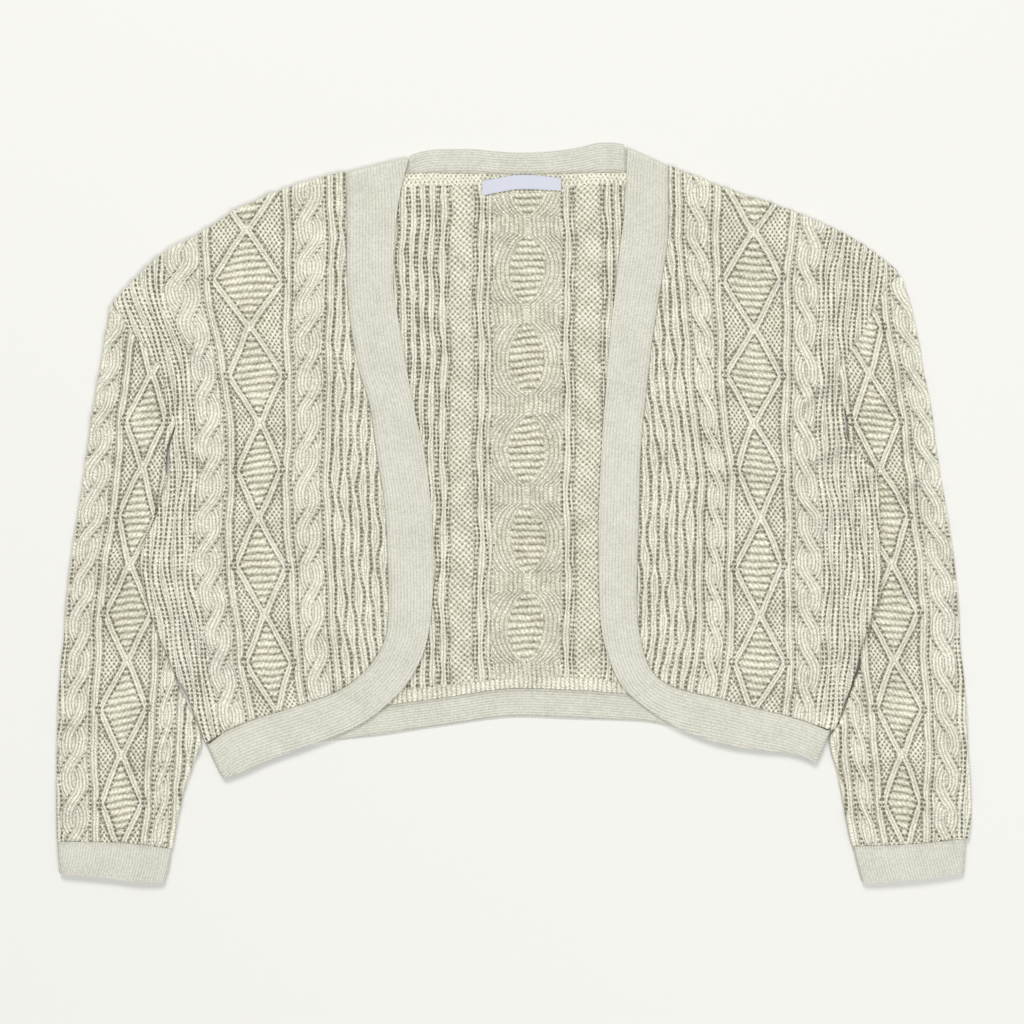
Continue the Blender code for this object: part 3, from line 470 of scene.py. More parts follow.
class Knit:
    """The knit of a front or a sleeve: its columns from the middle of the body outwards."""

    def __init__(self, rows, first):
        self.first = first
        self.lines = {name: Line(rows, "y", name) for name in Columns._fields[1:]}
        self.edges = [
            ("edge", "rib_d", RIB_HALF + GUTTER / 2), ("edge", "rib_c", -RIB_HALF - GUTTER / 2),
            ("edge", "rib_c", RIB_HALF + RIB_LINE), ("edge", "rib_b", -RIB_HALF - RIB_LINE),
            ("edge", "rib_b", RIB_HALF + GUTTER / 2),
        ]
        self.ropes = [("rope", way, edge) for way in (-1, 1) for edge in (-1, 1)]

    def __call__(self, out, y):
        for name, inside in (("rib_d", self.wavy_ribs), ("rib_c", self.inner_cable), ("rib_b", self.diamond)):
            offset = out - self.lines[name](y)
            if offset < -RIB_HALF:
                return inside(out, y)
            if offset < RIB_HALF:
                round_top = 1 - abs(offset / RIB_HALF) ** 3
                # The last number is painted shade, darker on the rib's flanks
                return Knitted(("rib", name), RIB_RISE * round_top, 1.0, 1.0, 0.25 * (1 - round_top))
        if out < self.lines["outer_cable"](y) + OUTER_CABLE_HALF:
            return self.cable("outer", out, y)
        return self.side_ribs(out, y)

    def inner_cable(self, out, y):
        return self.cable("inner", out, y)

    def turn_of(self, which, y):
        """The number of a cable's crossing at height y, and how far down in it that is."""
        first = self.first + (OUTER_HIGHER if which == "outer" else 0.0)
        return divmod((first - y) / CABLE_REPEAT, 1.0)

    def crossing(self, which, y, turn):
        """A cable's middle and half width, how far its upper band is from the middle, and how far across."""
        if which == "inner":
            low, high = self.lines["rib_d"](y), self.lines["rib_c"](y) - RIB_HALF - GUTTER
        else:
            low, high = self.lines["rib_b"](y), self.lines["outer_cable"](y) + OUTER_CABLE_HALF
        low = low + RIB_HALF + GUTTER
        number, down = self.turn_of(which, y)
        crossed = clamp((number + down - turn) / CROSSING)
        half = (high - low) / 2
        return low + half, half, -0.5 * half * math.cos(math.pi * crossed), crossed

    def cable(self, which, out, y):
        """A cable of two bands: going down, the one nearer the middle of the body always passes over."""
        turn = self.turn_of(which, y)[0]
        middle, half, away, crossed = self.crossing(which, y, turn)
        lift = math.sin(math.pi * crossed)
        slope = 0.5 * half * math.pi * lift / (CROSSING * CABLE_REPEAT)
        lean = 1 / math.sqrt(1 + slope * slope)
        best = None
        for way, high in ((1, CABLE_RISE + 0.9 * lift), (-1, CABLE_RISE)):
            aside = abs(out - middle - way * away) * lean / (0.5 * half)
            if aside >= 1:
                continue
            height = high * math.sqrt(1 - aside ** 3)
            if best is None or height > best.rise:
                # The last number is painted shade: darker at a band's edges and on the band that passes under
                best = Knitted(("band", which, way, lean, turn), height, 1.0, 0.15 + 0.6 * lift * lift,
                               0.2 * aside ** 6 + (0.05 * lift if way < 0 else 0.0))
        # Between the bands, a little painted shade
        return best or Knitted(("flank", which, turn), 0.55, 1.0, 0.7, 0.12)

    def wavy_ribs(self, out, y):
        """Ribs beside the front band, which sway apart and together with holes between them."""
        groove = self.wavy_groove(out, y)
        offset = out - self.groove_out(groove, y)
        sunk = math.exp(-(offset / 1.3) ** 2)
        wide = 0.5 + 0.5 * math.sin(y / 7.3 + math.pi * groove[2] + 1.2)
        # The last number is painted shade in the sunk groove, varying along it
        return Knitted(("wale", groove, 0.8, 2.6), 0.8 * RIB_RISE * (1 - sunk), 1.0, 0.65 + 0.35 * wide,
                       (0.08 + 0.16 * wide) * sunk)

    def side_ribs(self, out, y):
        """Ribs beside the side seam, with two rows of holes in each groove."""
        groove = self.side_groove(out, y)
        offset = out - self.groove_out(("side", 0.0, groove[2]), y)
        sunk = math.exp(-(offset / 2.4) ** 2)
        zone = ("wale", ("side", 0.0, groove[2]), SIDE_HOLES, 2.3)
        if abs(offset) < SIDE_HOLES:
            zone = ("wale", ("side", -SIDE_HOLES, groove[2]), 0.0, 2 * SIDE_HOLES)
        fresh = 0.80 + 0.30 * math.sin(y / 9.5 + 2.9 * groove[2] + (2.0 if groove[1] > 0 else 0.0))
        # The last number is painted shade in the sunk groove
        return Knitted(zone, RIB_RISE * (1 - sunk), 1.0, fresh, 0.08 * sunk)

    def rope(self, y):
        """The middle between the two ropes of the diamonds, their distance from it and their lean."""
        low, high = self.lines["rib_c"](y) + RIB_HALF, self.lines["rib_b"](y) - RIB_HALF
        half = (high - low) / 2
        turn = ((self.first - y) / DIAMOND_REPEAT) % 1.0
        swing = half - 1.6
        slope = swing * 2 / DIAMOND_REPEAT
        return low + half, swing * (1 - abs(2 * turn - 1)) + 1.0, 1 / math.sqrt(1 + slope * slope)

    def diamond(self, out, y):
        """Two ropes that part and meet, garter ridges inside them and reverse stitches beside them."""
        middle, rope, lean = self.rope(y)
        offset = out - middle
        aside = (abs(offset) - rope) * lean
        # The last numbers are painted shade: on the rope's flanks, in the garter troughs and as a shadow
        # beside the ropes
        if abs(aside) < ROPE_HALF:
            round_top = 1 - abs(aside / ROPE_HALF) ** 3
            return Knitted(("rope",), ROPE_RISE * round_top, 1.0, 0.75, 0.3 * (1 - round_top) ** 2)
        if aside < 0:
            ridge = 0.5 + 0.5 * math.cos(2 * math.pi * self.garter_row(offset, y))
            row = math.floor(self.garter_row(offset, y) + 0.5)
            return Knitted(("garter", middle, row), GARTER_RISE * ridge ** 0.7, 1.0, 0.6,
                           0.20 + 0.35 * (1 - ridge) ** 1.5)
        shadow = math.exp(-((aside - ROPE_HALF) / 1.6) ** 2)
        return Knitted(("purl", middle), 0.1, 0.0, 0.62, 0.26 + 0.25 * shadow)

    def garter_row(self, offset, y):
        return (y - self.first + 0.12 * offset) / GARTER_PITCH

    def wavy_groove(self, out, y):
        return ("wavy", None, max(round((self.lines["rib_d"](y) - RIB_HALF - out) / WAVY_PITCH), 0))

    def side_groove(self, out, y):
        far = out - self.lines["outer_cable"](y) - OUTER_CABLE_HALF - SIDE_FIRST
        number = max(round(far / SIDE_PITCH), 0)
        return ("side", -SIDE_HOLES if far < number * SIDE_PITCH else SIDE_HOLES, number)

    def groove(self, out, y):
        """The line of painted shade between columns that is nearest to a place."""
        lines = self.lines
        if out < lines["rib_d"](y):
            return self.wavy_groove(out, y)
        if out < lines["rib_c"](y):
            turn = self.turn_of("inner", y)[0]
            grooves = self.edges[:2] + [("cable", ("inner", turn), -1), ("cable", ("inner", turn), 1)]
        elif out < lines["rib_b"](y):
            _, rope, lean = self.rope(y)
            grooves = self.edges[2:4] + [
                groove for groove in self.ropes if rope + groove[2] * ROPE_HALF / lean > 0]
        elif out < lines["outer_cable"](y) + OUTER_CABLE_HALF:
            turn = self.turn_of("outer", y)[0]
            grooves = [self.edges[4], self.side_groove(out, y)]
            grooves += [("cable", ("outer", turn), -1), ("cable", ("outer", turn), 1)]
        else:
            return self.side_groove(out, y)
        return min(grooves, key=lambda groove: abs(out - self.groove_out(groove, y)))

    def groove_out(self, groove, y):
        """Where a groove lies at height y."""
        kind, name, number = groove
        if kind == "edge":
            return self.lines[name](y) + number
        if kind == "cable":
            middle, half, away, _ = self.crossing(name[0], y, name[1])
            return middle + away + number * 0.55 * half
        if kind == "wavy":
            sway = 0.10 * math.sin(y / 8.1 + math.pi * number) + 0.07 * math.sin(y / 5.3 + 2.3 * number)
            sway += 0.03 * math.sin(y / 2.3 + 5.0 * number)
            return self.lines["rib_d"](y) - RIB_HALF - (number + sway) * WAVY_PITCH
        if kind == "side":
            sway = 0.10 * math.sin(y / 11.0 + 2.0 * number)
            name *= 0.85 + 0.20 * math.sin(y / 13.0 + 1.7 * number)
            first = self.lines["outer_cable"](y) + OUTER_CABLE_HALF + SIDE_FIRST
            return first + (number + sway) * SIDE_PITCH + name
        middle, rope, lean = self.rope(y)
        return middle + name * (rope + number * ROPE_HALF / lean)

    def stitch(self, zone, out, y):
        """Columns across and stitches along at a place, for the kind of stitches that its zone has."""
        kind = zone[0]
        if kind == "rib":
            return (out - self.lines[zone[1]](y)) / WALE, y / COURSE
        if kind == "wale":
            return (abs(out - self.groove_out(zone[1], y)) - zone[2]) / zone[3], y / COURSE
        if kind == "flank":
            return (out - self.crossing(zone[1], y, zone[2])[0]) / WALE, y / COURSE
        if kind == "band":
            middle, _, away, _ = self.crossing(zone[1], y, zone[4])
            return 1.5 + (out - middle - zone[2] * away) * zone[3] / WALE, y / (COURSE * zone[3])
        if kind == "rope":
            middle, rope, lean = self.rope(y)
            return (abs(out - middle) - rope) * lean / WALE, y / (COURSE * lean)
        if kind == "garter":
            return self.garter_row(out - zone[1], y) + 0.5 - zone[2], (out - zone[1]) / GARTER_STITCH
        return (out - zone[1]) / PURL_WIDE, y / PURL_TALL


# A vertex of a sheet: its place on the inner and the outer side, where it lies in the knit, and what the knit
# is there
Spot = namedtuple("Spot", "inner outer out y knitted")


def add(name, data):
    """A new object in the scene."""
    made = bpy.data.objects.new(name, data)
    bpy.context.scene.collection.objects.link(made)
    return made


def make_sheet(name, wide, tall, spots, knit, look):
    """A sheet of cloth from its grid of spots, row by row from the top: its wall, stitches and finish."""
    bm = bmesh.new()
    bmesh.ops.create_grid(bm, x_segments=wide, y_segments=tall, size=0.5)
    bm.verts.ensure_lookup_table()
    site = bm.verts.layers.int.new("site")
    # Face stitches, how open the holes are, and how much shade is painted in hollows
    marks = {name: bm.verts.layers.float.new(name) for name in ("face", "hole", "hollow")}
    order = []
    for vertex in bm.verts:
        column = round((vertex.co.x + 0.5) * wide)
        row = round((0.5 - vertex.co.y) * tall)
        order.append(row * (wide + 1) + column)
    for vertex, index in zip(bm.verts, order):
        spot = spots[index]
        vertex[site] = index
        vertex.co = [value * MM for value in spot.inner]
        for mark, layer in marks.items():
            vertex[layer] = getattr(spot.knitted, mark)
    lay_stitches(bm, spots, site, knit)
    bmesh.ops.remove_doubles(bm, verts=bm.verts[:], dist=MERGE)
    bmesh.ops.dissolve_degenerate(bm, edges=bm.edges[:], dist=MERGE)
    flat_area = sum(face.calc_area() for face in bm.faces)
    inner = set(bm.faces)
    grown = bmesh.ops.extrude_face_region(bm, geom=bm.faces[:])
    outer = {thing for thing in grown["geom"] if isinstance(thing, bmesh.types.BMFace)}
    for thing in grown["geom"]:
        if isinstance(thing, bmesh.types.BMVert):
            thing.co = [value * MM for value in spots[thing[site]].outer]
    uv, line = bm.loops.layers.uv["stitch"], bm.loops.layers.uv["groove"]
    for face in set(bm.faces) - inner - outer:
        for loop in face.loops:
            spot = spots[loop.vert[site]]
            loop[uv].uv = (spot.out / WALE, spot.y / COURSE)
            loop[line].uv = (NO_GROOVE, 0.0)
    bmesh.ops.recalc_face_normals(bm, faces=bm.faces[:])
    for face in bm.faces:
        face.smooth = True
    mesh = bpy.data.meshes.new(name)
    bm.to_mesh(mesh)
    bm.free()
    mesh.set_sharp_from_angle(angle=math.radians(SHARP_ANGLE))
    mesh.materials.append(look)
    piece = add(name, mesh)
    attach(piece, "root")
    return piece, flat_area


def lay_stitches(bm, spots, site, knit):
    """Each face takes its stitch counts from the kind of stitches at its middle, so no count smears."""
    uv = bm.loops.layers.uv.new("stitch")
    line = bm.loops.layers.uv.new("groove")
    for face in bm.faces:
        corners = [(loop, spots[loop.vert[site]]) for loop in face.loops]
        out = sum(spot.out for _, spot in corners) / len(corners)
        y = sum(spot.y for _, spot in corners) / len(corners)
        zone, groove = knit(out, y).zone, knit.groove(out, y)
        for loop, spot in corners:
            loop[uv].uv = knit.stitch(zone, spot.out, spot.y)
            away = spot.out - knit.groove_out(groove, spot.y) if groove else NO_GROOVE
            loop[line].uv = (away, spot.y / HOLE_PITCH)


class Plain:
    """A fine rib or a plain weave: its stitches are counted straight across and along."""

    def __init__(self, across, along):
        self.across = across
        self.along = along

    def __call__(self, out, y):
        return plain()

    def groove(self, out, y):
        return None

    def stitch(self, zone, out, y):
        return out / self.across, y / self.along


def settle(start, at_edge):
    """The height at which a column meets an edge, found step by step."""
    y = start
    for _ in range(SETTLE_STEPS):
        y = 0.5 * (y + at_edge(y))
    return y


def fold(half, out, y, turn, way, level, rise, outer=FOLD_OUT):
    """A fold's inner and outer side at a place: from over (0) round to under (1), bent one way."""
    angle = math.radians(90 - 180 * turn)
    sides = []
    for radius in (FOLD_IN, outer + rise * (1 - turn)):
        aside, height = radius * math.cos(angle), radius * math.sin(angle)
        sides.append((half.sign * (out + way[0] * aside), y + way[1] * aside, level + height))
    return sides


def tube_columns(over, under):
    """The columns round a tube that is folded flat, from its inner fold on: which part, and where in it."""
    turns = [k / TUBE_FOLD for k in range(TUBE_FOLD + 1)]
    columns = [("inner_over", 0.5 - turn / 2) for turn in turns[:-1]]
    columns += [("over", k / over) for k in range(over + 1)]
    columns += [("outer", turn) for turn in turns[1:]]
    columns += [("under", 1 - k / under) for k in range(1, under)]
    return columns + [("inner_under", 1 - turn / 2) for turn in turns]


# How finely the pieces are divided. The back is finer between two places across, where it shows.
TUBE_FOLD = 5
FRONT_WIDE, FRONT_TALL, FRONT_SIDE_FOLD, FRONT_TOP_FOLD = 124, 318, 5, 4
SLEEVE_WIDE, SLEEVE_TALL, SLEEVE_UNDER = 88, 330, 12
CUFF_WIDE, CUFF_TALL = 36, 12
BAND_ACROSS, BAND_FOLD = 18, 4
STRIP_WIDE, STRIP_STEP = 14, 2.4
BACK_FINE_FROM, BACK_FINE_TO, BACK_FINE, BACK_SIDE, BACK_TALL = -100.0, 96.0, 128, 18, 250
LABEL_LONG, LABEL_WIDE = 60, 12


def make_front(half, name, node, look):
    """A front: its side folds round to the underside below the underarm, and so does its shoulder."""
    body = Body(half)
    knit = Knit(half.columns, FIRST_ROW)
    wide = FRONT_WIDE + FRONT_SIDE_FOLD
    tall = FRONT_TALL + FRONT_TOP_FOLD
    ends = []
    for column in range(FRONT_WIDE + 1):
        share = column / FRONT_WIDE
        top = settle(half.shoulder[0].y, lambda y: body.shoulder_y(body.spread(share, y)))
        low = settle(
            body.corner.y - 5, lambda y: body.hem_y(max(body.spread(share, y), body.corner.out)) + SEAM)
        ends.append((top, min(low, body.corner.y) if share < 0.02 else low))
    spots = []
    for row in range(tall + 1):
        for column in range(wide + 1):
            share = min(column / FRONT_WIDE, 1.0)
            top, low = ends[min(column, FRONT_WIDE)]
            y = top + (low - top) * max(row - FRONT_TOP_FOLD, 0) / FRONT_TALL
            out = body.spread(share, y)
            side_turn = max(column - FRONT_WIDE, 0) / FRONT_SIDE_FOLD
            top_turn = max(FRONT_TOP_FOLD - row, 0) / FRONT_TOP_FOLD
            folded = body.folded(y)
            knitted = knit(*drift(out, y))
            beside = min((out - body.spread(0.0, y)) / 2.0, 1.0, (y - low + 0.4) / 2.0)
            seam = min(1.0, folded + (body.front_side(y) - out) / 2.5)
            rise = knitted.rise * ease(beside) * ease(seam)
            below = max((half.underarm - y) / UNDERARM_CALM, 0.0)
            calm = min(1.0, below + (body.front_side(y) - out) / ARMHOLE_CALM)
            crease = swell(BODY_CREASES, half.sign * out, y) * ease(beside) * ease(calm)
            level = FOLD_LEVEL + body.lift(out, y) + crease
            turn, way = (top_turn, (0, 1)) if top_turn else (side_turn * folded, (1, 0))
            spots.append(Spot(
                *fold(half, out, y, turn, way, level, rise),
                *drift(out + side_turn * SIDE_FOLD_KNIT, y + FOLD_KNIT * top_turn), knitted,
            ))
    piece, area = make_sheet(name, wide, tall, spots, knit, look)
    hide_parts(node)


def make_sleeve(half, name, node, look):
    """A sleeve: one tube folded flat, open at the armhole seam, where its two layers part."""
    body = Body(half)
    knit = Knit(half.sleeve_columns, SLEEVE_ROW)
    outer_fold = Line(half.sleeve, "y", "outer")
    inner_fold = Line([row for row in half.sleeve if row.inner], "y", "inner")
    seam = Line(half.seam, "out", "y")
    columns = tube_columns(SLEEVE_WIDE, SLEEVE_UNDER)
    top = half.sleeve[0].y

    def place(column, y):
        """Where a column lies at height y: out, fold angle as a turn, and which way the fold looks."""
        kind, value = column
        outer = outer_fold(y) - FOLD_OUT
        open_edge = body.side_out(y) + SEAM / 2
        closed = body.folded(y)
        inner = open_edge + (inner_fold(min(y, half.underarm)) + FOLD_OUT - open_edge) * closed
        inner = min(inner, outer - 0.1)
        if kind == "inner_over":
            return inner, value * closed, -1
        if kind == "inner_under":
            return inner, 1 - (1 - value) * closed, -1
        if kind == "outer":
            return outer, value, 1
        return inner + (outer - inner) * value, 0.0 if kind == "over" else 1.0, 1

    ends = [settle(seam(290), lambda y: seam(place(column, y)[0]) + SEAM / 2) for column in columns]
    spots = []
    for row in range(SLEEVE_TALL + 1):
        for column, low in zip(columns, ends):
            y = top + (low - top) * row / SLEEVE_TALL
            out, turn, way = place(column, y)
            knitted = knit(*drift(out, y))
            rise = knitted.rise * (1 - turn) * ease((y - low) / 2.5)
            if y > half.rise[-1].y:
                rise *= ease((out - body.side_out(y) - 0.5) / 4)
            level = FOLD_LEVEL
            if turn < 0.5:
                beside = out - body.side_out(y) if y > SLEEVE_FREE else 30.0
                calm = ease(min(outer_fold(y) - FOLD_OUT - out, beside) / ARMHOLE_CALM)
                level += swell(SLEEVE_CREASES, half.sign * out, y) * calm * ease((y - low) / 12)
            round_fold = way * FOLD_KNIT * turn if column[0] not in ("over", "under") else 0.0
            spots.append(Spot(
                *fold(half, out, y, turn, (way, 0), level, rise), *drift(out + round_fold, y), knitted))
    piece, area = make_sheet(name, len(columns) - 1, SLEEVE_TALL, spots, knit, look)
    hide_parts(node)


def make_cuff(half, name, node, look):
    """A cuff: a fine rib ring folded flat, a little full between its folds."""
    seam, end = Line(half.seam, "out", "y"), Line(half.end, "out", "y")
    outer_fold, inner_fold = Line(half.cuff, "y", "outer"), Line(half.cuff, "y", "inner")
    radius_out = FOLD_IN + CUFF
    columns = tube_columns(CUFF_WIDE, CUFF_WIDE)
    spots = []
    for row in range(CUFF_TALL + 1):
        share = row / CUFF_TALL
        way_round = 0.0
        before = None
        for kind, value in columns:
            guess = half.cuff[0].y + (half.cuff[-1].y - half.cuff[0].y) * share
            fold_out = outer_fold(guess) - radius_out
            fold_in = inner_fold(guess) + radius_out
            across = value if kind in ("over", "under") else float(kind == "outer")
            out = fold_in + (fold_out - fold_in) * across
            y = seam(out) - SEAM / 2 + (end(out) - seam(out) + SEAM / 2) * share
            turn = {"over": 0.0, "under": 1.0}.get(kind, value)
            way = -1 if kind.startswith("inner") else 1
            full = 0.5 * math.sin(math.pi * share) * (1 - turn)
            inner, outer = fold(half, out, y, turn, (way, 0), CUFF + FOLD_IN + full, 0.0, radius_out)
            if before is not None:
                way_round += math.dist(outer, before)
            before = outer
            # Painted shade along the seam with the sleeve
            spots.append(Spot(inner, outer, way_round, y, plain(0.3 * math.exp(-(share / 0.08) ** 2))))
    piece, area = make_sheet(name, len(columns) - 1, CUFF_TALL, spots, Plain(*CUFF_STITCH), look)
    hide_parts(node)


def make_front_band(half, name, node, look):
    """A front band: one strip of fine rib through its sections, folded under at the shoulder and the side."""
    body = Body(half)
    sections = body.band
    count = len(sections) - 1
    fold_out = FOLD_IN + BAND
    spots = []
    along = 0.0
    for row in range(count + 2 * BAND_FOLD + 1):
        index = min(max(row - BAND_FOLD, 0), count)
        section = sections[index]
        if index:
            before = sections[index - 1]
            along += 0.5 * math.hypot(
                section.seam_out + section.free_out - before.seam_out - before.free_out,
                section.seam_y + section.free_y - before.seam_y - before.free_y,
            ) * (row <= count + BAND_FOLD)
        turn = max(BAND_FOLD - row, row - BAND_FOLD - count, 0) / BAND_FOLD
        width = math.hypot(section.free_out - section.seam_out, section.free_y - section.seam_y)
        near_top = max(0.0, 1 - (sections[0].seam_y - section.seam_y) / BAND_RUN)
        near_side = max(0.0, 1 - (sections[-1].seam_out - section.seam_out) / BAND_RUN)
        for column in range(BAND_ACROSS + 1):
            share = column / BAND_ACROSS
            inset = SEAM / 2 / width * (1 - share)
            out = section.seam_out + (section.free_out - section.seam_out) * (share + inset)
            y = section.seam_y + (section.free_y - section.seam_y) * (share + inset)
            level = FOLD_LEVEL + body.lift(out, y)
            crown = -0.9 * abs(2 * share - 1) ** 7
            sides = fold(
                half, out - fold_out * near_side, y - fold_out * near_top, turn,
                (row >= count + BAND_FOLD, row <= BAND_FOLD), level, crown, fold_out + (WALL - BAND) * turn)
            # Painted shade along the seam with the front
            spots.append(Spot(*sides, share * width, along, plain(0.5 * math.exp(-(share / 0.05) ** 2))))
    piece, area = make_sheet(
        name, BAND_ACROSS, count + 2 * BAND_FOLD, spots, Plain(*BAND_STITCH), look)
    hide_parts(node)


def make_strip(rows, name, node, look):
    """A fine rib strip on the floor: the back's neck band or its hem band, rounded along its free edge."""
    top, bottom = Line(rows, "x", "top"), Line(rows, "x", "bottom")
    long = int((rows[-1].x - rows[0].x) / STRIP_STEP)
    free_at_top = node == "neck_band"
    spots = []
    for row in range(long + 1):
        x = rows[0].x + (rows[-1].x - rows[0].x) * row / long
        for column in range(STRIP_WIDE + 1):
            share = column / STRIP_WIDE
            y = top(x) + (bottom(x) - top(x)) * share
            free = share if free_at_top else 1 - share
            round_edge = 1 - 0.45 * (1 - min(free / 0.12, 1.0)) ** 2
            # Painted shade along the seam edge, away from the free edge
            hollow = 0.55 * math.exp(-((1 - free) / 0.12) ** 2)
            spots.append(Spot(
                (x, y, 0.0), (x, y, UNDER_BAND * round_edge), share * (top(x) - bottom(x)), x, plain(hollow)))
    piece, area = make_sheet(name, STRIP_WIDE, long, spots, Plain(*STRIP_STITCH), look)
    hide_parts(node)


class WrongSide:
    """The back's wrong side: wavy ribs, bumpy columns where cables run, garter blocks in the middle."""

    def __init__(self, top, hem):
        self.top = top
        self.hem = hem
        self.label_low = Line(LABEL_TABLE, "x", "bottom")

    def __call__(self, x, y):
        below, above = self.top(x) - y, y - self.hem(x)
        # The last number of each is painted shade, darker in troughs and grooves and under the label
        if self.label_gap(x, y) > 0:
            return Knitted(("purl", 0.0), 0.0, 0.0, 0.3, 0.3)
        if below < NECK_EDGE:
            lump = 0.5 + 0.5 * math.sin(x / 0.9 + 1.6 * math.sin(x / 5.2)) * math.cos(y / 1.1)
            return Knitted(("purl", 0.0), 0.5 + 1.1 * lump * ease(below / 2), 0.4, 0.35, 0.25 * (1 - lump))
        if above < HEM_EDGE:
            reach = (x / SHORT_PITCH - round(x / SHORT_PITCH)) * 2
            return Knitted(("short", 0.0), 0.9 * (1 - reach * reach), 1.0, 0.8,
                           0.25 * reach * reach + 0.3 * math.exp(-(above - HEM_EDGE) ** 2))
        for column in BACK_COLUMNS:
            offset = x - column.x
            if abs(offset) < column.half:
                return self.column(column, offset, y)
        if BACK_COLUMNS[0].x < x < BACK_COLUMNS[-1].x:
            return Knitted(("wale", 0.0), 0.2, 1.0, 0.75, 0.12)
        ridge = math.cos(math.pi * x / FAR_PITCH)
        return Knitted(("wale", 0.0), BACK_RISE * ridge * ridge, 1.0, 1.0, 0.25 * (1 - ridge * ridge))

    def label_gap(self, x, y):
        """Above 0 beneath the label, where nothing is raised."""
        left, right = LABEL_TABLE[0].x, LABEL_TABLE[-1].x
        return min(x - left + LABEL_EDGE, right + LABEL_EDGE - x, y - self.label_low(x) + LABEL_EDGE)

    def column(self, column, offset, y):
        # The last number of each is painted shade, darker in troughs, at a column's edges and between garter
        # ridges
        if column.kind == "rib":
            shape = 1 - abs(offset / column.half) ** 3
            return Knitted(("wale", column.x), BACK_RISE * shape, 1.0, 0.95, 0.22 * (1 - shape))
        if column.kind == "cable":
            bow = 0.5 + 0.5 * math.cos(2 * math.pi * y / CABLE_REPEAT + 0.2 * offset)
            edge = abs(offset / column.half) ** 4
            return Knitted(("bumps", column.x), BACK_RISE * (0.8 + 0.2 * bow) * (1 - edge), 0.0, 0.34,
                           0.24 + 0.10 * (1 - bow) + 0.14 * edge)
        reach = self.block(y)
        beside = abs(offset) - reach
        if beside < 0:
            ridge = 0.5 + 0.5 * math.cos(2 * math.pi * y / GARTER_PITCH)
            row = math.floor(y / GARTER_PITCH + 0.5)
            hollow = 0.28 + 0.34 * (1 - ridge) ** 1.5
            return Knitted(("garter", column.x, row), BACK_RISE * 0.9 * ridge, 1.0, 0.0, hollow)
        line = 0.5 + 0.5 * math.cos(2 * math.pi * beside / PURL_WIDE)
        return Knitted(("ring", column.x), BACK_RISE * 0.7 * line, 1.0, 0.0, 0.16 + 0.26 * (1 - line))

    def block(self, y):
        """How far a garter block of the middle column reaches to either side at height y."""
        turn = ((BACK_DIAMOND_TIP - y) / BACK_DIAMOND_REPEAT) % 1.0
        return 18.0 * max(math.sin(math.pi * turn) - 0.35, 0.0) ** 0.7

    def groove(self, x, y):
        """The line of painted shade between columns that is nearest to a place."""
        if self.top(x) - y < NECK_EDGE or y - self.hem(x) < HEM_EDGE:
            return None
        if BACK_COLUMNS[0].x < x < BACK_COLUMNS[-1].x:
            grooves = [(column, way) for column in BACK_COLUMNS for way in (-1, 1)]
            return min(grooves, key=lambda groove: abs(x - self.groove_out(groove, y)))
        return (None, FAR_PITCH * (math.floor(x / FAR_PITCH) + 0.5))

    def groove_out(self, groove, y):
        """Where a groove lies at height y."""
        column, way = groove
        if column is None:
            return way + 0.6 * math.sin(y / 6.5 + way)
        wave = 0.9 * math.sin(y / 6.5 + column.x + 1.5 * way) if column.half < 5 else 0.3 * math.sin(y / 4.0)
        return column.x + way * (column.half + 0.3) + wave

    def stitch(self, zone, x, y):
        kind, offset = zone[0], x - zone[1]
        if kind == "short":
            return x / SHORT_PITCH + 0.5, y / COURSE
        if kind == "wale":
            return offset / WALE, y / COURSE
        if kind == "garter":
            return y / GARTER_PITCH + 0.5 - zone[2], offset / GARTER_STITCH
        if kind == "bumps":
            return offset / BUMP_WIDE, y / BUMP_TALL
        if kind == "ring":
            return (abs(offset) - self.block(y)) / PURL_WIDE, y / COURSE
        return x / PURL_WIDE, y / PURL_TALL


def make_back(halves, name, node, look):
    """The back: one flat wall on the floor, raised at its sides where they lie over the sleeves."""
    bodies = [Body(half) for half in halves]
    neck, hem = Line(NECK_STRIP, "x", "bottom"), Line(HEM_STRIP, "x", "top")
    knit = WrongSide(neck, hem)
    columns = [("left", 1 - k / BACK_SIDE) for k in range(BACK_SIDE)]
    columns += [("fine", k / BACK_FINE) for k in range(BACK_FINE + 1)]
    columns += [("right", (k + 1) / BACK_SIDE) for k in range(BACK_SIDE)]

    def place(column, y):
        kind, value = column
        if kind == "fine":
            return BACK_FINE_FROM + (BACK_FINE_TO - BACK_FINE_FROM) * value
        if kind == "left":
            return BACK_FINE_FROM - (bodies[0].back_side(y) + BACK_FINE_FROM) * value
        return BACK_FINE_TO + (bodies[1].back_side(y) - BACK_FINE_TO) * value

    def top_y(x):
        body = bodies[0] if x < 0 else bodies[1]
        edge = neck(x) - SEAM
        shoulder = body.shoulder_y(max(abs(x), body.half.shoulder[0].out)) - SEAM - (BAND - WALL)
        return edge if NECK_STRIP[0].x < x < NECK_STRIP[-1].x else min(shoulder, edge)

    def low_y(x):
        return hem(x) + (BACK_CLEAR if abs(x) > HEM_COVERED else SEAM + 0.1)

    ends = []
    for column in columns:
        top = settle(240, lambda y: top_y(place(column, y)))
        low = settle(-150, lambda y: low_y(place(column, y)))
        ends.append((top, low))
    spots = []
    for row in range(BACK_TALL + 1):
        for column, (top, low) in zip(columns, ends):
            y = top + (low - top) * row / BACK_TALL
            x = place(column, y)
            body = bodies[0] if x < 0 else bodies[1]
            base = body.lift(abs(x), y)
            knitted = knit(*drift(x, y))
            band_edge = body.free_out(min(max(y, body.corner.y), BAND_TOP))
            clear = ease((band_edge - abs(x) - 1.5) / 3)
            clear *= ease((top - y) / 1.5) * ease((y - low) / 1.5)
            outer = (x, y, base + WALL + knitted.rise * clear)
            spots.append(Spot((x, y, base), outer, *drift(x, y), knitted))
    piece, area = make_sheet(name, len(columns) - 1, BACK_TALL, spots, knit, look)
    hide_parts(node)


